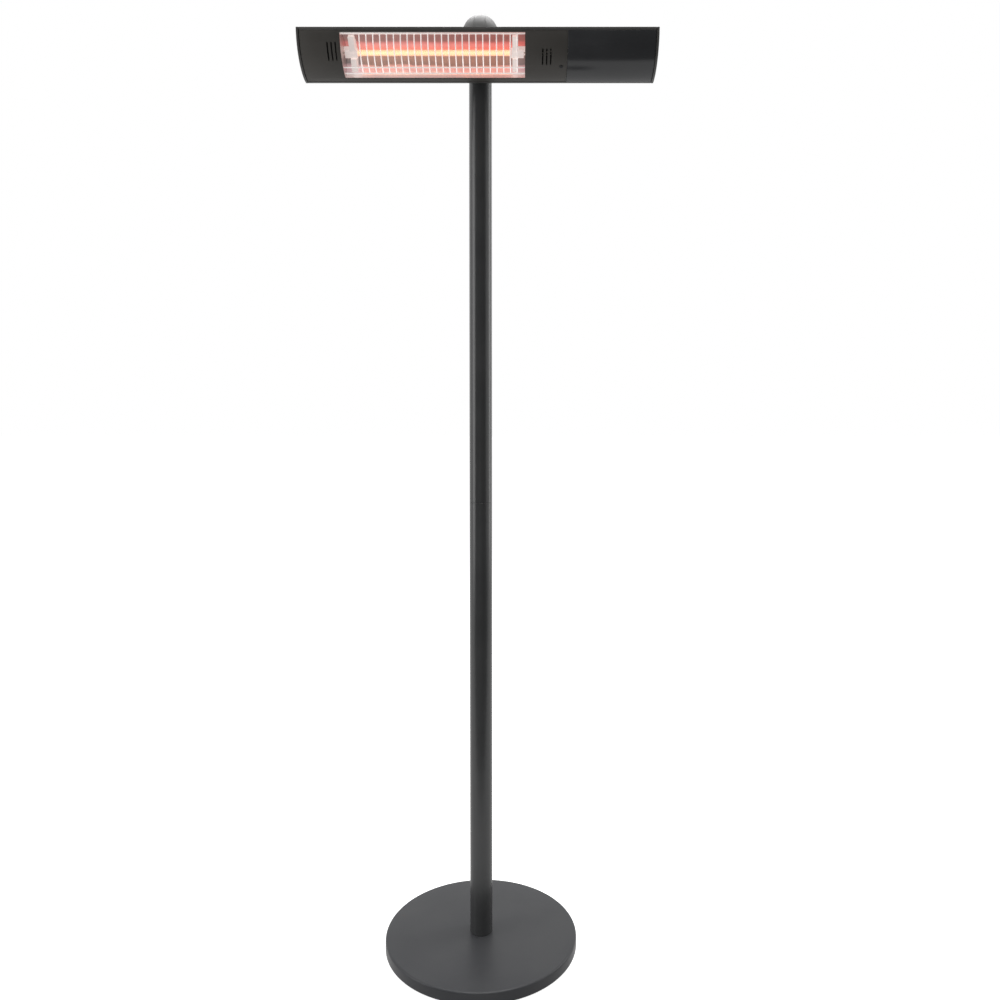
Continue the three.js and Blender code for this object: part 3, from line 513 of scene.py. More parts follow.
def makeTiltBolt():
    radius, head, nutRadius = joint["bolt"], joint["boltHead"], joint["nut"]
    headEnd = -joint["ball"] + joint["sunk"]
    shankEnd = joint["ball"] - joint["boltEnd"]
    under = headEnd + joint["boltHeadHeight"] - fit
    wide, tall = joint["boltChamfer"]
    profile = [
        (head - wide, headEnd), (head, headEnd + tall), (head, under), (radius, under),
        (radius, shankEnd - wide), (radius - wide, shankEnd),
    ]
    bolt = turned("tiltBoltFine", profile, 48)
    socketEnd = headEnd + joint["socket"]
    cutWith(bolt, bar("socket", head * 0.5, (0, 0, headEnd - past), (0, 0, socketEnd), 6))
    moveTo(bolt, forkFrame @ turn(90, "Y"))
    finished(bolt, "head", "zinc_steel", ["tilt_bolt"])
    start = joint["ball"] - joint["nutHeight"] - joint["sunk"] + fit
    end = start + joint["nutHeight"] - fit
    nut = bar("tiltNutFine", nutRadius, (0, 0, start), (0, 0, end), 6)
    wide, tall = joint["nutChamfer"]
    profile = [
        (nutRadius - wide, start), (nutRadius, start + tall),
        (nutRadius, end - tall), (nutRadius - wide, end),
    ]
    combine(nut, turned("chamfer", profile, 48), "INTERSECT")
    cutWith(nut, bar("thread", radius + fit, (0, 0, start - past), (0, 0, end + past)))
    moveTo(nut, forkFrame @ turn(90, "Y"))
    finished(nut, "head", "zinc_steel", ["tilt_nut"])


makeHub()
makeFork()
makeTiltBolt()
print("tilt joint done")

# the head is made in the frame of its face: x along it, y towards the back, z up the face
shell = {
    "half": 0.3795, "lip": 0.0605, "crown": 0.0233, "depth": 0.05, "backHalf": 0.02, "slope": 27,
    "wall": 0.0022, "lipHeight": 0.0046, "cap": 0.005, "gasket": 0.0014, "fascia": 0.0015,
    "sink": 0.0006, "coverLeft": 0.1887, "edgeRound": 0.0003, "coverRound": 0.0004,
    "channel": 0.0042, "channelBore": 0.0019, "channelBite": 0.0012,
    "capRound": 0.0012, "drillFrom": 0.046, "drillTo": 0.052,
}
window = {
    "left": -0.2888, "right": 0.0992, "top": 0.0524, "bottom": -0.044,
    "ventWidth": 0.003, "ventPitch": 0.0085, "ventRound": 0.0013,
    "leftVent": (-0.3074, 0.0175, 0.0365), "rightVent": (0.1447, 0.007, 0.0335),
    "lens": (0.1759, -0.014, 0.004), "cutFrom": -0.03, "cutTo": 0.03, "holeTo": 0.01,
}
lens = {
    "proud": 0.0006, "depth": 0.022,
    "dome": ((1, -0.0008), (0.94, -0.0004), (0.8, -0.00015), (0.55, 0.0), (0.3, 0.00006), (0.1, 0.0001)),
}
gland = {
    "x": 0.3555, "seat": 0.0002, "radius": 0.0095, "thread": 0.0065, "threadDepth": 0.0087,
    "threadChamfer": 0.0006, "flange": 0.005, "flangeRound": 0.0004,
    "ribs": 12, "rib": 0.0007, "ribCircle": 0.9, "ribFrom": 0.0052, "ribTo": 0.0104,
    "cap": (
        (0.86, 0.0054), (0.86, 0.0106), (0.8, 0.0118), (0.6, 0.013),
        (0.44, 0.0132), (0.4, 0.0128), (0.4, 0.011),
    ),
}
switch = {
    "y": 0.014, "bezel": (0.014, 0.009, 0.0016), "corner": 0.0018, "rim": 0.0005,
    "body": (0.0125, 0.0075, 0.018), "well": (0.0108, 0.0056, 0.007),
    "lean": 7, "pivot": 0.004, "seat": 0.0002, "paddleRound": 0.0004, "paddleProud": 0.0002,
    "paddleGap": (0.0004, 0.0012), "paddleWall": 0.004, "tail": (0.0008, 0.0026),
}
capScrew = {"shank": 0.0016, "length": 0.014, "head": 0.0038, "headHeight": 0.0024}

bodyHalf = shell["half"] - shell["cap"] - shell["gasket"]
faceRadius = (shell["lip"] ** 2 + shell["crown"] ** 2) / (2 * shell["crown"])
lipInner = shell["lip"] - shell["lipHeight"]
slope = rad(shell["slope"])
slopeFall = shell["lip"] - shell["backHalf"]
arcRadius = (slopeFall / math.tan(slope) - shell["depth"]) / (1 / math.sin(slope) - 1)
channelReach = (arcRadius - shell["wall"] - shell["channel"] + shell["channelBite"]) * math.sqrt(0.5)
channelY = shell["depth"] - arcRadius + channelReach
channelZ = shell["backHalf"] + channelReach


# the bulging face, or a surface that lies deeper by sink
def faceY(z, sink=0.0):
    return faceRadius - shell["crown"] - math.sqrt((faceRadius - sink) ** 2 - z * z)


# the rounded corner between the slope and the back
def bodyArc(inset):
    radius = arcRadius - inset
    return [
        (
            shell["depth"] - arcRadius + radius * math.sin(angle),
            shell["backHalf"] + radius * math.cos(angle),
        )
        for angle in spread(slope, rad(90), 14)
    ]


def mirrored(points):
    return [(y, -z) for y, z in points][::-1]


def makeHousing():
    wall = shell["wall"]
    insideLip = shell["lip"] - wall / math.cos(slope)
    lipDepth = (insideLip - lipInner) / math.tan(slope)
    upper = [(faceY(z), z) for z in spread(lipInner, shell["lip"], 4)] + bodyArc(0)
    upperInner = [(faceY(lipInner) + wall, lipInner), (lipDepth, lipInner)] + bodyArc(wall)
    outline = upper + mirrored(upper) + mirrored(upperInner)[::-1] + upperInner[::-1]
    housing = sectionBar("headHousingFine", outline, -bodyHalf, bodyHalf)
    roundEdges(housing, shell["edgeRound"])
    end = bodyHalf + past
    for z in (channelZ, -channelZ):
        rod = bar("channel", shell["channel"], (-bodyHalf, channelY, z), (bodyHalf, channelY, z), 24)
        joinWith(housing, rod)
        cutWith(housing, bar("bore", shell["channelBore"], (-end, channelY, z), (end, channelY, z), 16))
    drills = [(-joint["screwSpan"], screwHole, 24), (joint["screwSpan"], screwHole, 24)]
    for x, radius, sides in drills + [(gland["x"], gland["thread"] + fit, 32)]:
        low, high = (x, shell["drillFrom"], 0), (x, shell["drillTo"], 0)
        cutWith(housing, bar("hole", radius, low, high, sides))
    moveTo(housing, faceFrame)
    finished(housing, "head", "body_coat", ["head_housing"], 30)


def curvedSheet(name, sink, low, high):
    half = lipInner - fit
    return drawnEdge(name, [(faceY(z, sink), z) for z in spread(half, -half, 60)], low, high)


# turn an open sheet's faces towards the front
def frontOut(sheet):
    edit(sheet)
    bpy.ops.mesh.normals_make_consistent(inside=False)
    mesh = bmesh.from_edit_mesh(bpy.context.edit_object.data)
    if sum(face.normal.y for face in mesh.faces) > 0:
        bpy.ops.mesh.flip_normals()
    leaveEdit()


def thicken(sheet, wall):
    modify(sheet, "SOLIDIFY", thickness=wall, offset=-1, use_even_offset=True)


def makeFascia():
    left, right = -bodyHalf + fit, shell["coverLeft"] - fit
    sheet = curvedSheet("frontFasciaFine", shell["sink"], left, right)
    edit(sheet)
    for place, normal in (
        ((window["left"], 0, 0), (1, 0, 0)), ((window["right"], 0, 0), (1, 0, 0)),
        ((0, 0, window["top"]), (0, 0, 1)), ((0, 0, window["bottom"]), (0, 0, 1)),
    ):
        bpy.ops.mesh.select_all(action="SELECT")
        bpy.ops.mesh.bisect(plane_co=place, plane_no=normal)

    def inWindow(face):
        middle = middleOf(face)
        across = window["left"] < middle.x < window["right"]
        return across and window["bottom"] < middle.z < window["top"]

    pick("FACE", inWindow)
    bpy.ops.mesh.delete(type="FACE")
    leaveEdit()
    frontOut(sheet)
    thicken(sheet, shell["fascia"])
    roundEdges(sheet, shell["edgeRound"])
    half, front, back = window["ventWidth"] / 2, window["cutFrom"], window["cutTo"]
    for middle, z, height in (window["leftVent"], window["rightVent"]):
        for i in (-1, 0, 1):
            x = middle + i * window["ventPitch"]
            slit = cube("slit", (x - half, front, z - height / 2), (x + half, back, z + height / 2))
            roundAlong(slit, 1, window["ventRound"], 6)
            cutWith(sheet, slit)
    x, z, radius = window["lens"]
    cutWith(sheet, bar("lensHole", radius + fit, (x, front, z), (x, window["holeTo"], z), 40))
    moveTo(sheet, faceFrame)
    finished(sheet, "head", "fascia_coat", ["front_fascia"], 30)


def makeCover():
    sheet = curvedSheet("controlCoverFine", 0, shell["coverLeft"], bodyHalf - fit)
    frontOut(sheet)
    thicken(sheet, shell["fascia"])
    roundEdges(sheet, shell["coverRound"], 3)
    moveTo(sheet, faceFrame)
    finished(sheet, "head", "cover_gloss", ["control_cover"], 30)


# put a piece that was made for the right end at either end, about a middle
def putAtEnd(piece, side, middle=0):
    moveTo(piece, shift(middle, 0, 0) @ Matrix.Scale(side, 4, (1, 0, 0)))
    outward(piece)
    moveTo(piece, faceFrame)


def makeCap(side, word):
    low, high = shell["half"] - shell["cap"], shell["half"]
    upper = [(0, shell["lip"])] + bodyArc(0)
    face = [(faceY(z), z) for z in spread(-shell["lip"], shell["lip"], 61)][1:-1]
    cap = sectionBar(f"endCap{word}Fine", upper + mirrored(upper) + face, low, high)
    roundRim(cap, atX(high), shell["capRound"], 4)
    roundRim(cap, atX(low), shell["edgeRound"], 2)
    for z in (channelZ, -channelZ):
        start, end = (low - past, channelY, z), (high + past, channelY, z)
        cutWith(cap, bar("hole", capScrew["shank"] + fit, start, end, 24))
    if side > 0:
        halfZ, halfY = switch["body"][0] + fit, switch["body"][1] + fit
        start, end = (low - past, switch["y"] - halfY, -halfZ), (high + past, switch["y"] + halfY, halfZ)
        cutWith(cap, cube("switchHole", start, end))
    putAtEnd(cap, side)
    finished(cap, "head", "body_coat", [f"end_cap_{word.lower()}"], 30)
    for z, place in ((channelZ, "upper"), (-channelZ, "lower")):
        screw = makeScrew(f"capScrew{word}{place}", capScrew, capScrew["length"] + switch["seat"])
        tip = side * (shell["half"] - capScrew["length"])
        moveTo(screw, faceFrame @ shift(tip, channelY, z) @ turn(90 * side, "Y"))
        finished(screw, "head", "zinc_steel", [f"cap_screw_{word.lower()}_{place}"])


makeHousing()
makeFascia()
makeCover()
makeCap(-1, "Left")
makeCap(1, "Right")
print("shell of the head done")

# bowed wires on straight rails, just behind the face
guard = {
    "sink": 0.005, "wire": 0.0012, "left": -0.2488, "right": 0.0822, "count": 24,
    "rails": (0.0478, -0.018, -0.033), "past": 0.0013, "railRound": 0.0004,
}


def makeGuard():
    radius = guard["wire"]
    centre = faceRadius - shell["crown"]
    bow = faceRadius - guard["sink"] - radius
    top, bottom = guard["rails"][0] + guard["past"], guard["rails"][-1] - guard["past"]
    startAngle, endAngle = math.asin(top / bow), math.asin(bottom / bow)
    clearSelection()
    bpy.ops.mesh.primitive_circle_add(
        vertices=10, radius=radius, fill_type="NGON", location=(0, -bow, 0)
    )
    wires = nameNew("guardGrilleFine")
    moveTo(wires, shift(0, centre, 0))
    moveTo(wires, shift(0, centre, 0) @ Matrix.Rotation(-startAngle, 4, "X") @ shift(0, -centre, 0))
    edit(wires)
    bpy.ops.mesh.spin(
        steps=18, angle=endAngle - startAngle, center=(0, centre, 0), axis=(1, 0, 0)
    )
    leaveEdit()
    outward(wires)
    step = (guard["right"] - guard["left"]) / (guard["count"] - 1)
    modify(
        wires, "ARRAY", count=guard["count"], use_relative_offset=False, use_constant_offset=True,
        constant_offset_displace=(step, 0, 0),
    )
    moveTo(wires, shift(guard["left"], 0, 0))
    for z in guard["rails"]:
        y = faceY(z, guard["sink"])
        rail = bar("rail", radius, (window["left"] + fit, y, z), (window["right"] - fit, y, z), 12)
        roundRim(rail, lambda face: abs(face.normal.x) > 0.9, guard["railRound"], 2)
        joinWith(wires, rail)
    moveTo(wires, faceFrame)
    finished(wires, "head", "guard_wire", ["guard_grille"], 50)


# a parabola between two flanges that reach up to the fascia
trough = {"half": 0.047, "middle": 0.003, "mouth": 0.002, "back": 0.04, "wall": 0.001}


def makeReflector():
    half, middle, mouth = trough["half"], trough["middle"], trough["mouth"]
    front = shell["sink"] + shell["fascia"] + fit
    curve = [
        (mouth + (trough["back"] - mouth) * (1 - (z / half) ** 2), middle + z)
        for z in spread(half, -half, 48)
    ]
    upper, lower = middle + half, middle - half
    outline = [(faceY(upper, front), upper)] + curve + [(faceY(lower, front), lower)]
    sheet = drawnEdge("reflectorFine", outline, window["left"], window["right"])
    frontOut(sheet)
    thicken(sheet, trough["wall"])
    unroll = sheet.data.uv_layers.new(name="unrolled")
    length = window["right"] - window["left"]
    for loop in sheet.data.loops:
        corner = sheet.data.vertices[loop.vertex_index].co
        along = (corner.x - window["left"]) / length
        unroll.data[loop.index].uv = (along, (corner.z - middle + half) / (2 * half))
    moveTo(sheet, faceFrame)
    finished(sheet, "head", "reflector_metal", ["reflector"], 50)


lamp = {
    "y": 0.011, "z": 0.001, "radius": 0.006, "wall": 0.001, "margin": 0.003, "inset": 0.015,
    "socket": (0.027, 0.007, 0.0085), "socketDish": (0.0012, -0.0016), "socketRound": 0.0008,
    "holderWidth": 0.012, "holderFront": -0.0025, "holderTop": 0.04, "holderBottom": -0.034,
    "shoulders": (0.01, 0.012), "holderRound": 0.0009,
    "coil": 0.0034, "coilWire": 0.0006, "coilTurns": 84, "coilEnd": 0.004, "core": 0.0009,
}
windowMiddle = (window["left"] + window["right"]) / 2
windowHalf = (window["right"] - window["left"]) / 2
socketOuter = windowHalf - lamp["margin"]
socketInner = socketOuter - lamp["socket"][0]
lampEnd = socketInner - fit


def makeHolder(side, word):
    outer, width = windowHalf - lamp["inset"], lamp["holderWidth"]
    halfY, halfZ = lamp["socket"][1:]
    y, z, front = lamp["y"], lamp["z"], lamp["holderFront"]
    top, bottom, deep = lamp["holderTop"], lamp["holderBottom"], lamp["y"] + 2 * halfY
    outline = [
        (front, top), (lamp["shoulders"][0], top), (deep, top / 2),
        (deep, bottom / 2), (lamp["shoulders"][1], bottom), (front, bottom),
    ]
    holder = sectionBar(f"lampHolder{word}Fine", outline, outer - width, outer)
    seat = y + halfY + fit
    low, high = z - halfZ - fit, z + halfZ + fit
    cutWith(holder, cube("slot", (outer - width - past, front - past, low), (outer + past, seat, high)))
    joinWith(holder, cube("foot", (outer - past, seat, z - halfZ), (windowHalf, deep, z + halfZ)))
    roundEdges(holder, lamp["holderRound"], 3, 50)
    putAtEnd(holder, side, windowMiddle)
    finished(holder, "head", "ceramic", [f"lamp_holder_{word.lower()}"])
    low, high = (socketInner, y - halfY, z - halfZ), (socketOuter, y + halfY, z + halfZ)
    socket = cube(f"lampSocket{word}Fine", low, high)
    edit(socket)
    pick("FACE", lambda face: face.normal.x < -0.9)
    bpy.ops.mesh.inset(thickness=lamp["socketDish"][0], depth=lamp["socketDish"][1])
    leaveEdit()
    roundEdges(socket, lamp["socketRound"], 3, 50)
    putAtEnd(socket, side, windowMiddle)
    finished(socket, "head", "ceramic", [f"lamp_socket_{word.lower()}"])


def makeLamp():
    lampFrame = faceFrame @ shift(windowMiddle, lamp["y"], lamp["z"]) @ turn(90, "Y")
    outer, inner = lamp["radius"], lamp["radius"] - lamp["wall"]
    profile = [(outer, -lampEnd), (outer, lampEnd), (inner, lampEnd), (inner, -lampEnd)]
    tube = turned("lampTubeFine", profile, 48, closed=True)
    moveTo(tube, lampFrame)
    finished(tube, "head", "quartz", ["lamp_tube"])
    clearSelection()
    bpy.ops.mesh.primitive_circle_add(
        vertices=6, radius=lamp["coilWire"], rotation=(rad(90), 0, 0),
        location=(lamp["coil"], 0, -lampEnd + lamp["coilEnd"]),
    )
    coil = nameNew("lampFilamentFine")
    turns = lamp["coilTurns"]
    modify(
        coil, "SCREW", axis="Z", angle=rad(360), iterations=turns, steps=12, render_steps=12,
        screw_offset=2 * (lampEnd - lamp["coilEnd"]) / turns, use_merge_vertices=True,
    )
    outward(coil)
    core = bar("core", lamp["core"], (0, 0, -lampEnd), (0, 0, lampEnd), 10)
    selectOnly(coil)
    core.select_set(True)
    bpy.ops.object.join()
    moveTo(coil, lampFrame)
    finished(coil, "head", "filament", ["lamp_filament"], 60)


makeGuard()
makeReflector()
makeHolder(-1, "Left")
makeHolder(1, "Right")
makeLamp()
print("lamp and guard done")


def makeLens():
    x, z, radius = window["lens"]
    front = faceY(z, shell["sink"]) - lens["proud"]
    profile = [(radius, -lens["depth"])] + [(radius * part, height) for part, height in lens["dome"]]
    glass = turned("receiverLensFine", profile, 48)
    moveTo(glass, faceFrame @ shift(x, front, z) @ turn(90, "X"))
    finished(glass, "head", "dark_plastic", ["receiver_lens"])


def makeGland():
    radius, thread, flange = gland["radius"], gland["thread"], gland["flange"]
    chamfer, edge = gland["threadChamfer"], gland["flangeRound"]
    profile = [
        (thread - chamfer, -gland["threadDepth"]), (thread, chamfer - gland["threadDepth"]),
        (thread, 0), (radius, 0), (radius, flange - edge), (radius - edge, flange),
    ]
    profile += [(radius * part, height) for part, height in gland["cap"]]
    body = turned("cableGlandFine", profile, 60)
    circle, ribs = radius * gland["ribCircle"], []
    for angle in spread(0, rad(330), gland["ribs"]):
        x, y = circle * math.cos(angle), circle * math.sin(angle)
        ribs.append(bar("rib", gland["rib"], (x, y, gland["ribFrom"]), (x, y, gland["ribTo"]), 8))
    joinWith(body, *ribs)
    back = shell["depth"] + gland["seat"]
    moveTo(body, faceFrame @ shift(gland["x"], back, 0) @ turn(-90, "X"))
    finished(body, "head", "dark_plastic", ["cable_gland"])


def makeSwitch():
    bezelZ, bezelY, bezelWall = switch["bezel"]
    bodyZ, bodyY, length = switch["body"]
    wellZ, wellY, wellDeep = switch["well"]
    y, inner = switch["y"], shell["half"] + switch["seat"]
    outer = inner + bezelWall
    bezel = cube("powerSwitchFine", (inner, y - bezelY, -bezelZ), (outer, y + bezelY, bezelZ))
    roundAlong(bezel, 0, switch["corner"], 5)
    roundRim(bezel, lambda face: face.normal.x > 0.9, switch["rim"], 3)
    low, high = (shell["half"] - length, y - bodyY, -bodyZ), (inner + fit, y + bodyY, bodyZ)
    joinWith(bezel, cube("body", low, high))
    low, high = (outer - wellDeep, y - wellY, -wellZ), (outer + past, y + wellY, wellZ)
    cutWith(bezel, cube("well", low, high))
    moveTo(bezel, faceFrame)
    finished(bezel, "head", "dark_plastic", ["power_switch_body"], 30)
    pivot, (sideGap, endGap) = switch["pivot"], switch["paddleGap"]
    front, half, width = pivot + switch["paddleProud"], wellZ - endGap, wellY - sideGap
    rise = half * math.tan(rad(switch["lean"]))
    hollow = [(front + rise * t * t, half * t) for t in spread(0, 1, 9)]
    tail = (pivot - wellDeep + switch["tail"][0], switch["tail"][1])
    upper = hollow[1:] + [(front + rise - switch["paddleWall"], half), tail]
    rocker = sectionBar("powerRockerFine", hollow[:1] + upper + mirrored(upper), -width, width)
    roundEdges(rocker, switch["paddleRound"], 2, 50)
    lean = turn(-switch["lean"], "Y") @ turn(-90, "Z")
    moveTo(rocker, faceFrame @ shift(outer - pivot, y, 0) @ lean)
    finished(rocker, "switch_paddle", "dark_plastic", ["power_rocker"], 30)


def makeBracketScrews():
    plateBack = shell["depth"] + joint["plate"][1] + joint["plateGap"]
    tip = shell["depth"] - shell["wall"] - joint["screwTip"]
    for i, x in enumerate((-joint["screwSpan"], joint["screwSpan"])):
        screw = makeScrew(f"bracketScrew{i + 1}", largeScrew, plateBack - tip)
        moveTo(screw, faceFrame @ shift(x, tip, 0) @ turn(-90, "X"))
        finished(screw, "head", "zinc_steel", [f"bracket_screw_{i + 1}"])


makeLens()
makeGland()
makeSwitch()
makeBracketScrews()
print("small pieces done")


# a material with values for its shader's sockets
def newMaterial(name, sockets):
    material = bpy.data.materials.new(name)
    material.use_nodes = True
    shader = material.node_tree.nodes["Principled BSDF"]
    for label, value in sockets.items():
        shader.inputs[label].default_value = value
    return material, material.node_tree.nodes, material.node_tree.links, shader


# an output is linked to the socket, and a plain value is set on it
def feed(links, socket, value):
    if isinstance(value, bpy.types.NodeSocket):
        links.new(value, socket)
    else:
        socket.default_value = value


def between(nodes, links, factor, low, high, fromMin=0.0, fromMax=1.0):
    node = nodes.new("ShaderNodeMapRange")
    node.inputs["From Min"].default_value = fromMin
    node.inputs["From Max"].default_value = fromMax
    node.inputs["To Min"].default_value = low
    node.inputs["To Max"].default_value = high
    links.new(factor, node.inputs["Value"])
    return node.outputs["Result"]


def calculate(nodes, links, how, first, second):
    node = nodes.new("ShaderNodeMath")
    node.operation = how
    links.new(first, node.inputs[0])
    links.new(second, node.inputs[1])
    return node.outputs["Value"]


def noise(nodes, links, place, scale, detail):
    node = nodes.new("ShaderNodeTexNoise")
    node.inputs["Detail"].default_value = detail
    links.new(place, node.inputs["Vector"])
    feed(links, node.inputs["Scale"], scale)
    return node.outputs["Fac"]


def blendColour(nodes, links, factor, first, second, how="MIX"):
    node = nodes.new("ShaderNodeMix")
    node.data_type = "RGBA"
    node.blend_type = how
    links.new(factor, node.inputs["Factor"])
    for index, colour in ((6, first), (7, second)):  # the two colour inputs
        feed(links, node.inputs[index], (*colour, 1) if isinstance(colour, tuple) else colour)
    return node.outputs[2]


def bumpFrom(nodes, links, height, distance):
    node = nodes.new("ShaderNodeBump")
    node.inputs["Distance"].default_value = distance
    node.inputs["Strength"].default_value = 1
    links.new(height, node.inputs["Height"])
    return node.outputs["Normal"]


def makeGroup(name, inputs, outputs):
    group = bpy.data.node_groups.new(name, "ShaderNodeTree")
    for label, value in inputs.items():
        socket = group.interface.new_socket(
            name=label, in_out="INPUT", socket_type="NodeSocketFloat"
        )
        socket.default_value = value
    for label in outputs:
        group.interface.new_socket(name=label, in_out="OUTPUT", socket_type="NodeSocketFloat")
    return group, group.nodes.new("NodeGroupInput"), group.nodes.new("NodeGroupOutput")


# fine orange peel of a powder coat: a height for bump and a slow cloud for colour and roughness
def grainGroup():
    group, source, result = makeGroup("powderGrain", {"Size": 900.0, "Cloud": 9.0}, ("Height", "Cloud"))
    nodes, links = group.nodes, group.links
    place = nodes.new("ShaderNodeTexCoord").outputs["Object"]
    fine = noise(nodes, links, place, source.outputs["Size"], 2)
    slow = noise(nodes, links, place, source.outputs["Cloud"], 3)
    links.new(fine, result.inputs["Height"])
    links.new(slow, result.inputs["Cloud"])
    return group


# rubbed edges with a painted edge highlight, where a rounded normal differs from the real one, in
# patches
def wearAndHighlightGroup():
    group, source, result = makeGroup("edgeWear", {"Radius": 0.0008, "Patch": 60.0}, ("Mask",))
    nodes, links = group.nodes, group.links
    rounded = nodes.new("ShaderNodeBevel")
    rounded.samples = 4
    real = nodes.new("ShaderNodeNewGeometry")
    product = nodes.new("ShaderNodeVectorMath")
    product.operation = "DOT_PRODUCT"
    links.new(source.outputs["Radius"], rounded.inputs["Radius"])
    links.new(rounded.outputs["Normal"], product.inputs[0])
    links.new(real.outputs["Normal"], product.inputs[1])
    edge = between(nodes, links, product.outputs["Value"], 0, 1, 0.985, 0.8)
    place = nodes.new("ShaderNodeTexCoord").outputs["Object"]
    patch = noise(nodes, links, place, source.outputs["Patch"], 4)
    wornAndHighlit = between(nodes, links, patch, 0, 1, 0.42, 0.68)
    links.new(calculate(nodes, links, "MULTIPLY", edge, wornAndHighlit), result.inputs["Mask"])
    return group


# long fine lines along X, as rolled or brushed metal has
def streakGroup():
    group, source, result = makeGroup("rolledStreaks", {"Length": 4.0, "Fineness": 900.0}, ("Streak",))
    nodes, links = group.nodes, group.links
    place = nodes.new("ShaderNodeTexCoord")
    split = nodes.new("ShaderNodeSeparateXYZ")
    merge = nodes.new("ShaderNodeCombineXYZ")
    links.new(place.outputs["Object"], split.inputs["Vector"])
    for axis, factor in (("X", "Length"), ("Y", "Fineness"), ("Z", "Fineness")):
        scaled = calculate(nodes, links, "MULTIPLY", split.outputs[axis], source.outputs[factor])
        links.new(scaled, merge.inputs[axis])
    lines = noise(nodes, links, merge.outputs["Vector"], 1, 3)
    links.new(lines, result.inputs["Streak"])
    return group


groups = {"grain": grainGroup(), "wear": wearAndHighlightGroup(), "streak": streakGroup()}


def useGroup(nodes, kind, **values):
    node = nodes.new("ShaderNodeGroup")
    node.node_tree = groups[kind]
    for key, value in values.items():
        node.inputs[key].default_value = value
    return node.outputs


# what every solid finish has: a colour, a mask that sets the roughness, and a height for bump
def finishShader(nodes, links, shader, colour, mask, roughness, height, bump):
    links.new(colour, shader.inputs["Base Color"])
    links.new(between(nodes, links, mask, *roughness), shader.inputs["Roughness"])
    links.new(bumpFrom(nodes, links, height, bump), shader.inputs["Normal"])


# powder coat: two close greys, grain bump, rubbed edges lightened as a painted edge highlight
def coatMaterial(name, dark, light, roughness, wornAndHighlit, specular, size=900.0, bump=0.00006):
    material, nodes, links, shader = newMaterial(name, {"Specular IOR Level": specular})
    grain = useGroup(nodes, "grain", Size=size)
    wear = between(nodes, links, useGroup(nodes, "wear")["Mask"], 0, 0.5)
    cloud = between(nodes, links, grain["Cloud"], 0, 1, 0.35, 0.65)
    colour = blendColour(nodes, links, cloud, dark, light)
    edged = blendColour(nodes, links, wear, colour, wornAndHighlit)
    finishShader(nodes, links, shader, edged, grain["Cloud"], roughness, grain["Height"], bump)
    return material


def metalMaterial(name, dark, light, roughness, length, fineness, bump=0.00002):
    material, nodes, links, shader = newMaterial(name, {"Metallic": 1.0})
    streak = useGroup(nodes, "streak", Length=length, Fineness=fineness)["Streak"]
    grain = useGroup(nodes, "grain", Size=300.0, Cloud=25.0)
    colour = blendColour(nodes, links, grain["Cloud"], dark, light)
    finishShader(nodes, links, shader, colour, streak, roughness, streak, bump)
    return material


def plainSurface(name, dark, light, roughness, size, cloud, bump, specular=0.5):
    material, nodes, links, shader = newMaterial(name, {"Specular IOR Level": specular})
    grain = useGroup(nodes, "grain", Size=size, Cloud=cloud)
    colour = blendColour(nodes, links, grain["Cloud"], dark, light)
    finishShader(nodes, links, shader, colour, grain["Cloud"], roughness, grain["Height"], bump)
    return material


def glowMaterial(name, colour, glow, sockets):
    material, nodes, links, shader = newMaterial(name, {"Base Color": (*colour, 1), **sockets})
    grain = useGroup(nodes, "grain", Size=120.0, Cloud=12.0)
    tone = between(nodes, links, grain["Cloud"], 0, 1, 0.3, 0.7)
    dimmer = tuple(channel * 0.85 for channel in glow)
    links.new(blendColour(nodes, links, tone, dimmer, glow), shader.inputs["Emission Color"])
    return material


# bands of painted reflection on the reflector: place from its lower edge to its upper one, and colour
paintedReflectionBands = (
    (0.01, (0.82, 0.79, 0.77)), (0.06, (0.82, 0.63, 0.67)), (0.12, (0.74, 0.57, 0.6)),
    (0.16, (0.29, 0.27, 0.27)), (0.3, (0.35, 0.31, 0.3)), (0.38, (0.72, 0.53, 0.48)),
    (0.44, (0.82, 0.38, 0.35)), (0.58, (0.8, 0.35, 0.33)), (0.64, (0.5, 0.31, 0.29)),
    (0.84, (0.4, 0.31, 0.3)), (0.9, (0.66, 0.56, 0.54)), (0.98, (0.78, 0.73, 0.71)),
)


# polished sheet with painted reflections in bands, redder towards the right and above the lamp's line,
# and a painted glow of the lamp's light over all of it
def reflectorMaterial():
    sockets = {"Metallic": 1.0, "Emission Strength": 0.28}
    material, nodes, links, shader = newMaterial("tintedReflector", sockets)
    unrolled = nodes.new("ShaderNodeUVMap")
    unrolled.uv_map = "unrolled"
    split = nodes.new("ShaderNodeSeparateXYZ")
    links.new(unrolled.outputs["UV"], split.inputs["Vector"])
    streak = useGroup(nodes, "streak", Length=6.0, Fineness=240.0)["Streak"]
    grain = useGroup(nodes, "grain", Size=60.0, Cloud=16.0)
    sway = between(nodes, links, grain["Cloud"], -0.025, 0.025, 0.3, 0.7)
    bands = nodes.new("ShaderNodeValToRGB")
    ramp = bands.color_ramp
    for place, colour in paintedReflectionBands:
        ramp.elements.new(place).color = (*colour, 1)
    ramp.elements.remove(ramp.elements[0])
    ramp.elements.remove(ramp.elements[-1])
    links.new(calculate(nodes, links, "ADD", split.outputs["Y"], sway), bands.inputs["Fac"])
    paintedReflection = bands.outputs["Color"]
    redder = between(nodes, links, split.outputs["X"], 0.0, 0.55, 0.3, 0.8)
    paintedLampGlow = blendColour(nodes, links, redder, paintedReflection, (1.0, 0.55, 0.5), "MULTIPLY")
    above = between(nodes, links, split.outputs["Y"], 0, 1, 0.34, 0.44)
    colour = blendColour(nodes, links, above, paintedReflection, paintedLampGlow)
    # painted glow: the sheet emits the lamp's reddened light, though it is no lamp
    links.new(paintedLampGlow, shader.inputs["Emission Color"])
    finishShader(nodes, links, shader, colour, streak, (0.3, 0.5), streak, 0.00005)
    return material


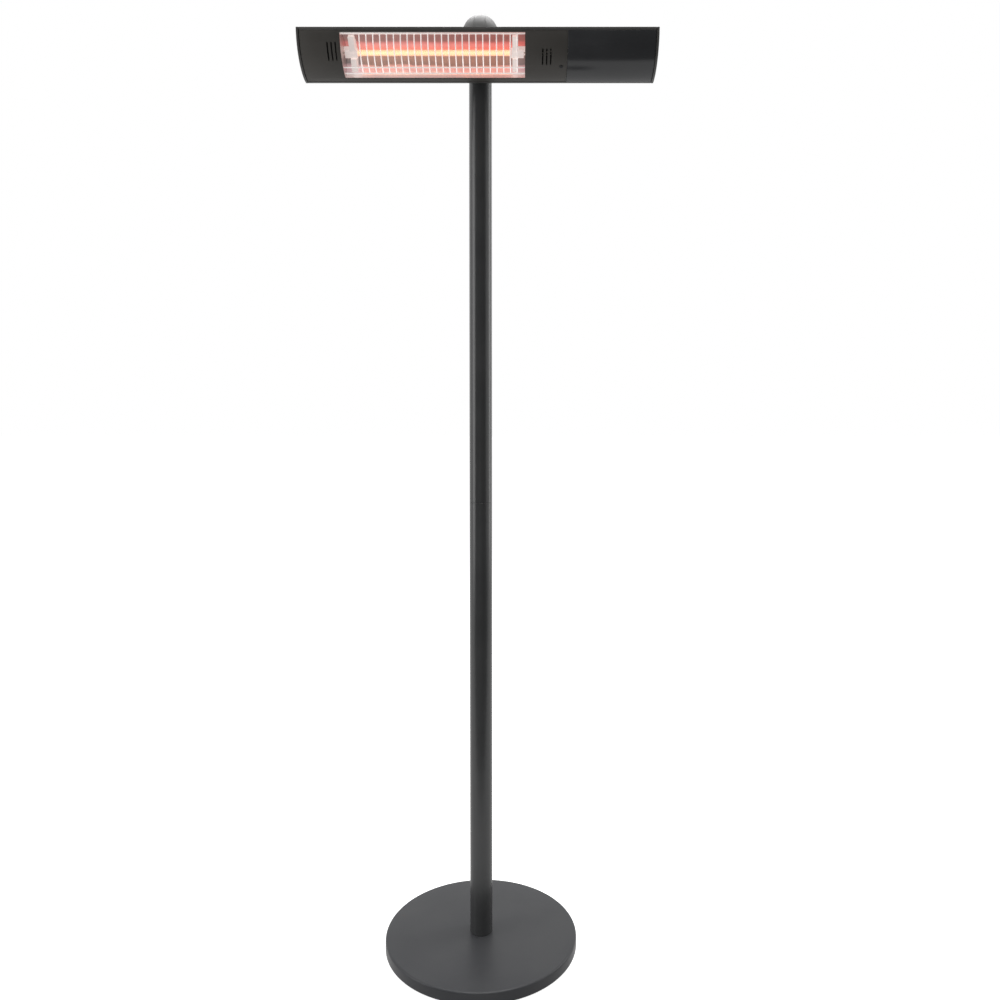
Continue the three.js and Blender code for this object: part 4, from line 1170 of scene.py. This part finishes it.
# adds the warm light that the lamp casts on the pieces beside it
def litByLamp(material, glow, strength):
    shader = material.node_tree.nodes["Principled BSDF"]
    shader.inputs["Emission Color"].default_value = (*glow, 1)
    shader.inputs["Emission Strength"].default_value = strength
    return material


def grey(level):
    return (level, level, level)


# colours from dark to light, then roughness from low to high
materials = {
    "base_coat": coatMaterial(
        "charcoalPowder", (0.05, 0.051, 0.055), (0.058, 0.059, 0.062), (0.3, 0.42), grey(0.1), 0.22
    ),
    "pole_coat": coatMaterial(
        "polePowder", (0.048, 0.049, 0.05), (0.058, 0.059, 0.06), (0.2, 0.3), grey(0.09), 0.5
    ),
    # the ball's light grey, far lighter than the pole's coat, is painted reflection of the light from
    # above on the same dark coat
    "ball_coat": coatMaterial(
        "ballPowder", (0.165, 0.164, 0.162), (0.2, 0.199, 0.197), (0.42, 0.55), grey(0.3), 0.4
    ),
    "body_coat": coatMaterial(
        "bodyPowder", (0.09, 0.088, 0.084), (0.105, 0.102, 0.098), (0.3, 0.42), (0.3, 0.3, 0.29), 0.5
    ),
    "fascia_coat": coatMaterial(
        "fasciaPowder", (0.075, 0.07, 0.064), (0.088, 0.083, 0.076), (0.42, 0.55),
        (0.14, 0.14, 0.13), 0.35,
    ),
    "cover_gloss": coatMaterial(
        "glossCover", (0.042, 0.043, 0.046), (0.05, 0.051, 0.054), (0.16, 0.24), grey(0.1), 0.45,
        200.0, 0.00001,
    ),
    "cast_iron": plainSurface(
        "castIron", (0.035, 0.034, 0.034), (0.06, 0.058, 0.056), (0.7, 0.9), 500.0, 30.0, 0.0004, 0.3
    ),
    "foot_rubber": plainSurface(
        "rubber", grey(0.012), grey(0.022), (0.7, 0.85), 700.0, 40.0, 0.0001, 0.3
    ),
    "dark_plastic": plainSurface(
        "darkPlastic", (0.014, 0.014, 0.015), (0.022, 0.022, 0.023), (0.35, 0.55), 1200.0, 30.0, 0.00006
    ),
    "fibre": plainSurface(
        "frictionFibre", (0.1, 0.06, 0.035), (0.2, 0.12, 0.07), (0.75, 0.95), 900.0, 300.0, 0.0002, 0.2
    ),
    "circuit_board": plainSurface(
        "boardLacquer", (0.01, 0.08, 0.03), (0.02, 0.13, 0.05), (0.2, 0.35), 300.0, 200.0, 0.00004
    ),
    "lead_sleeve": plainSurface(
        "glassSleeve", (0.55, 0.5, 0.42), (0.74, 0.7, 0.62), (0.7, 0.9), 1500.0, 400.0, 0.0003, 0.2
    ),
    "ceramic": litByLamp(
        plainSurface(
            "ceramic", (0.8, 0.76, 0.72), (0.88, 0.85, 0.82), (0.45, 0.65), 800.0, 60.0, 0.00008
        ),
        (1.0, 0.84, 0.8), 0.34,
    ),
    "zinc_steel": metalMaterial(
        "zincPlate", (0.42, 0.43, 0.43), (0.55, 0.56, 0.58), (0.28, 0.42), 60.0, 400.0
    ),
    "guard_wire": litByLamp(
        metalMaterial(
            "brightWire", (0.76, 0.75, 0.74), (0.9, 0.89, 0.87), (0.3, 0.45), 80.0, 1200.0, 0.00001
        ),
        (1.0, 0.9, 0.88), 0.4,
    ),
    "reflector_metal": reflectorMaterial(),
    "quartz": glowMaterial(
        "goldQuartz", (1.0, 0.75, 0.55), (1.0, 0.55, 0.42),
        {"Emission Strength": 0.32, "Roughness": 0.05, "Transmission Weight": 0.85, "IOR": 1.2},
    ),
    "filament": glowMaterial(
        "filament", (0.3, 0.15, 0.08), (1.0, 0.74, 0.56), {"Emission Strength": 1.4, "Roughness": 0.6}
    ),
}
# the end plates' pink is painted reflection of the lamp's red glow on bare polished metal
endPlate = metalMaterial("endPlate", (0.62, 0.5, 0.49), (0.72, 0.62, 0.6), (0.3, 0.45), 5.0, 400.0)

for piece, slotName in allPieces:
    piece.data.materials.clear()
    piece.data.materials.append(materials[slotName])

slotOf = {row["node"]: row["material_slot"] for row in frame["record"]["subparts"]}
for nodeName, node in frame["nodes"].items():
    if not node.hide_render:
        material = endPlate if nodeName.startswith("reflector_end") else materials[slotOf[nodeName]]
        for place in node.material_slots:
            place.material = material
print("finishes done")

# bounce is the floor's level for the object's light, direct the one that the camera sees, and lift
# the glow that brings the floor up to the white of the background
room = {"floorSize": 80, "bounce": grey(0.2), "direct": grey(0.9), "lift": 0.8, "worldLight": 0.25}
# a dark sheet of painted shade, seen only in reflections
darkSide = {"reach": 4.5, "near": -0.8, "far": -3.0, "bottom": 0.01, "top": 4.0, "level": 0.07}


# the rays that should meet the white of the background
def backgroundRays(nodes, links):
    rays = nodes.new("ShaderNodeLightPath").outputs
    seen = calculate(nodes, links, "MAXIMUM", rays["Is Camera Ray"], rays["Is Glossy Ray"])
    return rays, calculate(nodes, links, "MAXIMUM", seen, rays["Is Transmission Ray"])


def makeFloor():
    clearSelection()
    bpy.ops.mesh.primitive_plane_add(size=room["floorSize"], location=(0, 0, 0))
    floor = nameNew("floor")
    sockets = {"Roughness": 0.9, "Specular IOR Level": 0.1, "Emission Color": (1, 1, 1, 1)}
    material, nodes, links, shader = newMaterial("paleFloor", sockets)
    floor.data.materials.append(material)
    rays, seen = backgroundRays(nodes, links)
    tone = blendColour(nodes, links, rays["Is Camera Ray"], room["bounce"], room["direct"])
    links.new(tone, shader.inputs["Base Color"])
    links.new(between(nodes, links, seen, 0, room["lift"]), shader.inputs["Emission Strength"])


def makeWorld():
    world = bpy.data.worlds.new("studio")
    bpy.context.scene.world = world
    world.use_nodes = True
    nodes, links = world.node_tree.nodes, world.node_tree.links
    background = nodes["Background"]
    background.inputs["Color"].default_value = (1, 1, 1, 1)
    seen = backgroundRays(nodes, links)[1]
    strength = between(nodes, links, seen, room["worldLight"], 1.0)
    links.new(strength, background.inputs["Strength"])


# painted shade: a dark sheet for the unlit side of the room around the camera, which only reflections
# meet
def makePaintedShadeSide():
    near, far, bottom = darkSide["near"], darkSide["far"], darkSide["bottom"]
    outline = [(near, bottom), (far, bottom), (far, darkSide["top"])]
    sheet = drawnEdge("darkSide", outline, -darkSide["reach"], darkSide["reach"])
    sockets = {"Base Color": (*grey(darkSide["level"]), 1), "Roughness": 0.9}
    sheet.data.materials.append(newMaterial("darkSide", sockets)[0])
    sheet.visible_camera = False
    sheet.visible_diffuse = False
    sheet.visible_shadow = False


def areaLamp(name, place, target, size, power, inMirrors=True):
    data = bpy.data.lights.new(name, "AREA")
    data.shape = "RECTANGLE"
    data.size, data.size_y = size
    data.energy = power
    lampObject = bpy.data.objects.new(name, data)
    bpy.context.scene.collection.objects.link(lampObject)
    lampObject.location = place
    aim = Vector(target) - Vector(place)
    lampObject.rotation_euler = aim.to_track_quat("-Z", "Y").to_euler()
    lampObject.visible_glossy = inMirrors


makeFloor()
makeWorld()
makePaintedShadeSide()
areaLamp("overhead", (0.2, 0.3, 4.2), (0, 0, 0.5), (3.0, 2.4), 120)
areaLamp("leftSoft", (-2.8, -0.9, 1.5), (0, 0, 1.1), (1.4, 2.6), 26)
areaLamp("rightEdge", (2.4, 0.7, 1.6), (0, 0, 1.2), (0.9, 2.4), 16)
areaLamp("frontLow", (-0.5, -2.9, 0.7), (0, 0, 1.6), (1.8, 1.0), 16, inMirrors=False)

bpy.context.scene.view_settings.view_transform = "Standard"

print("scene done")
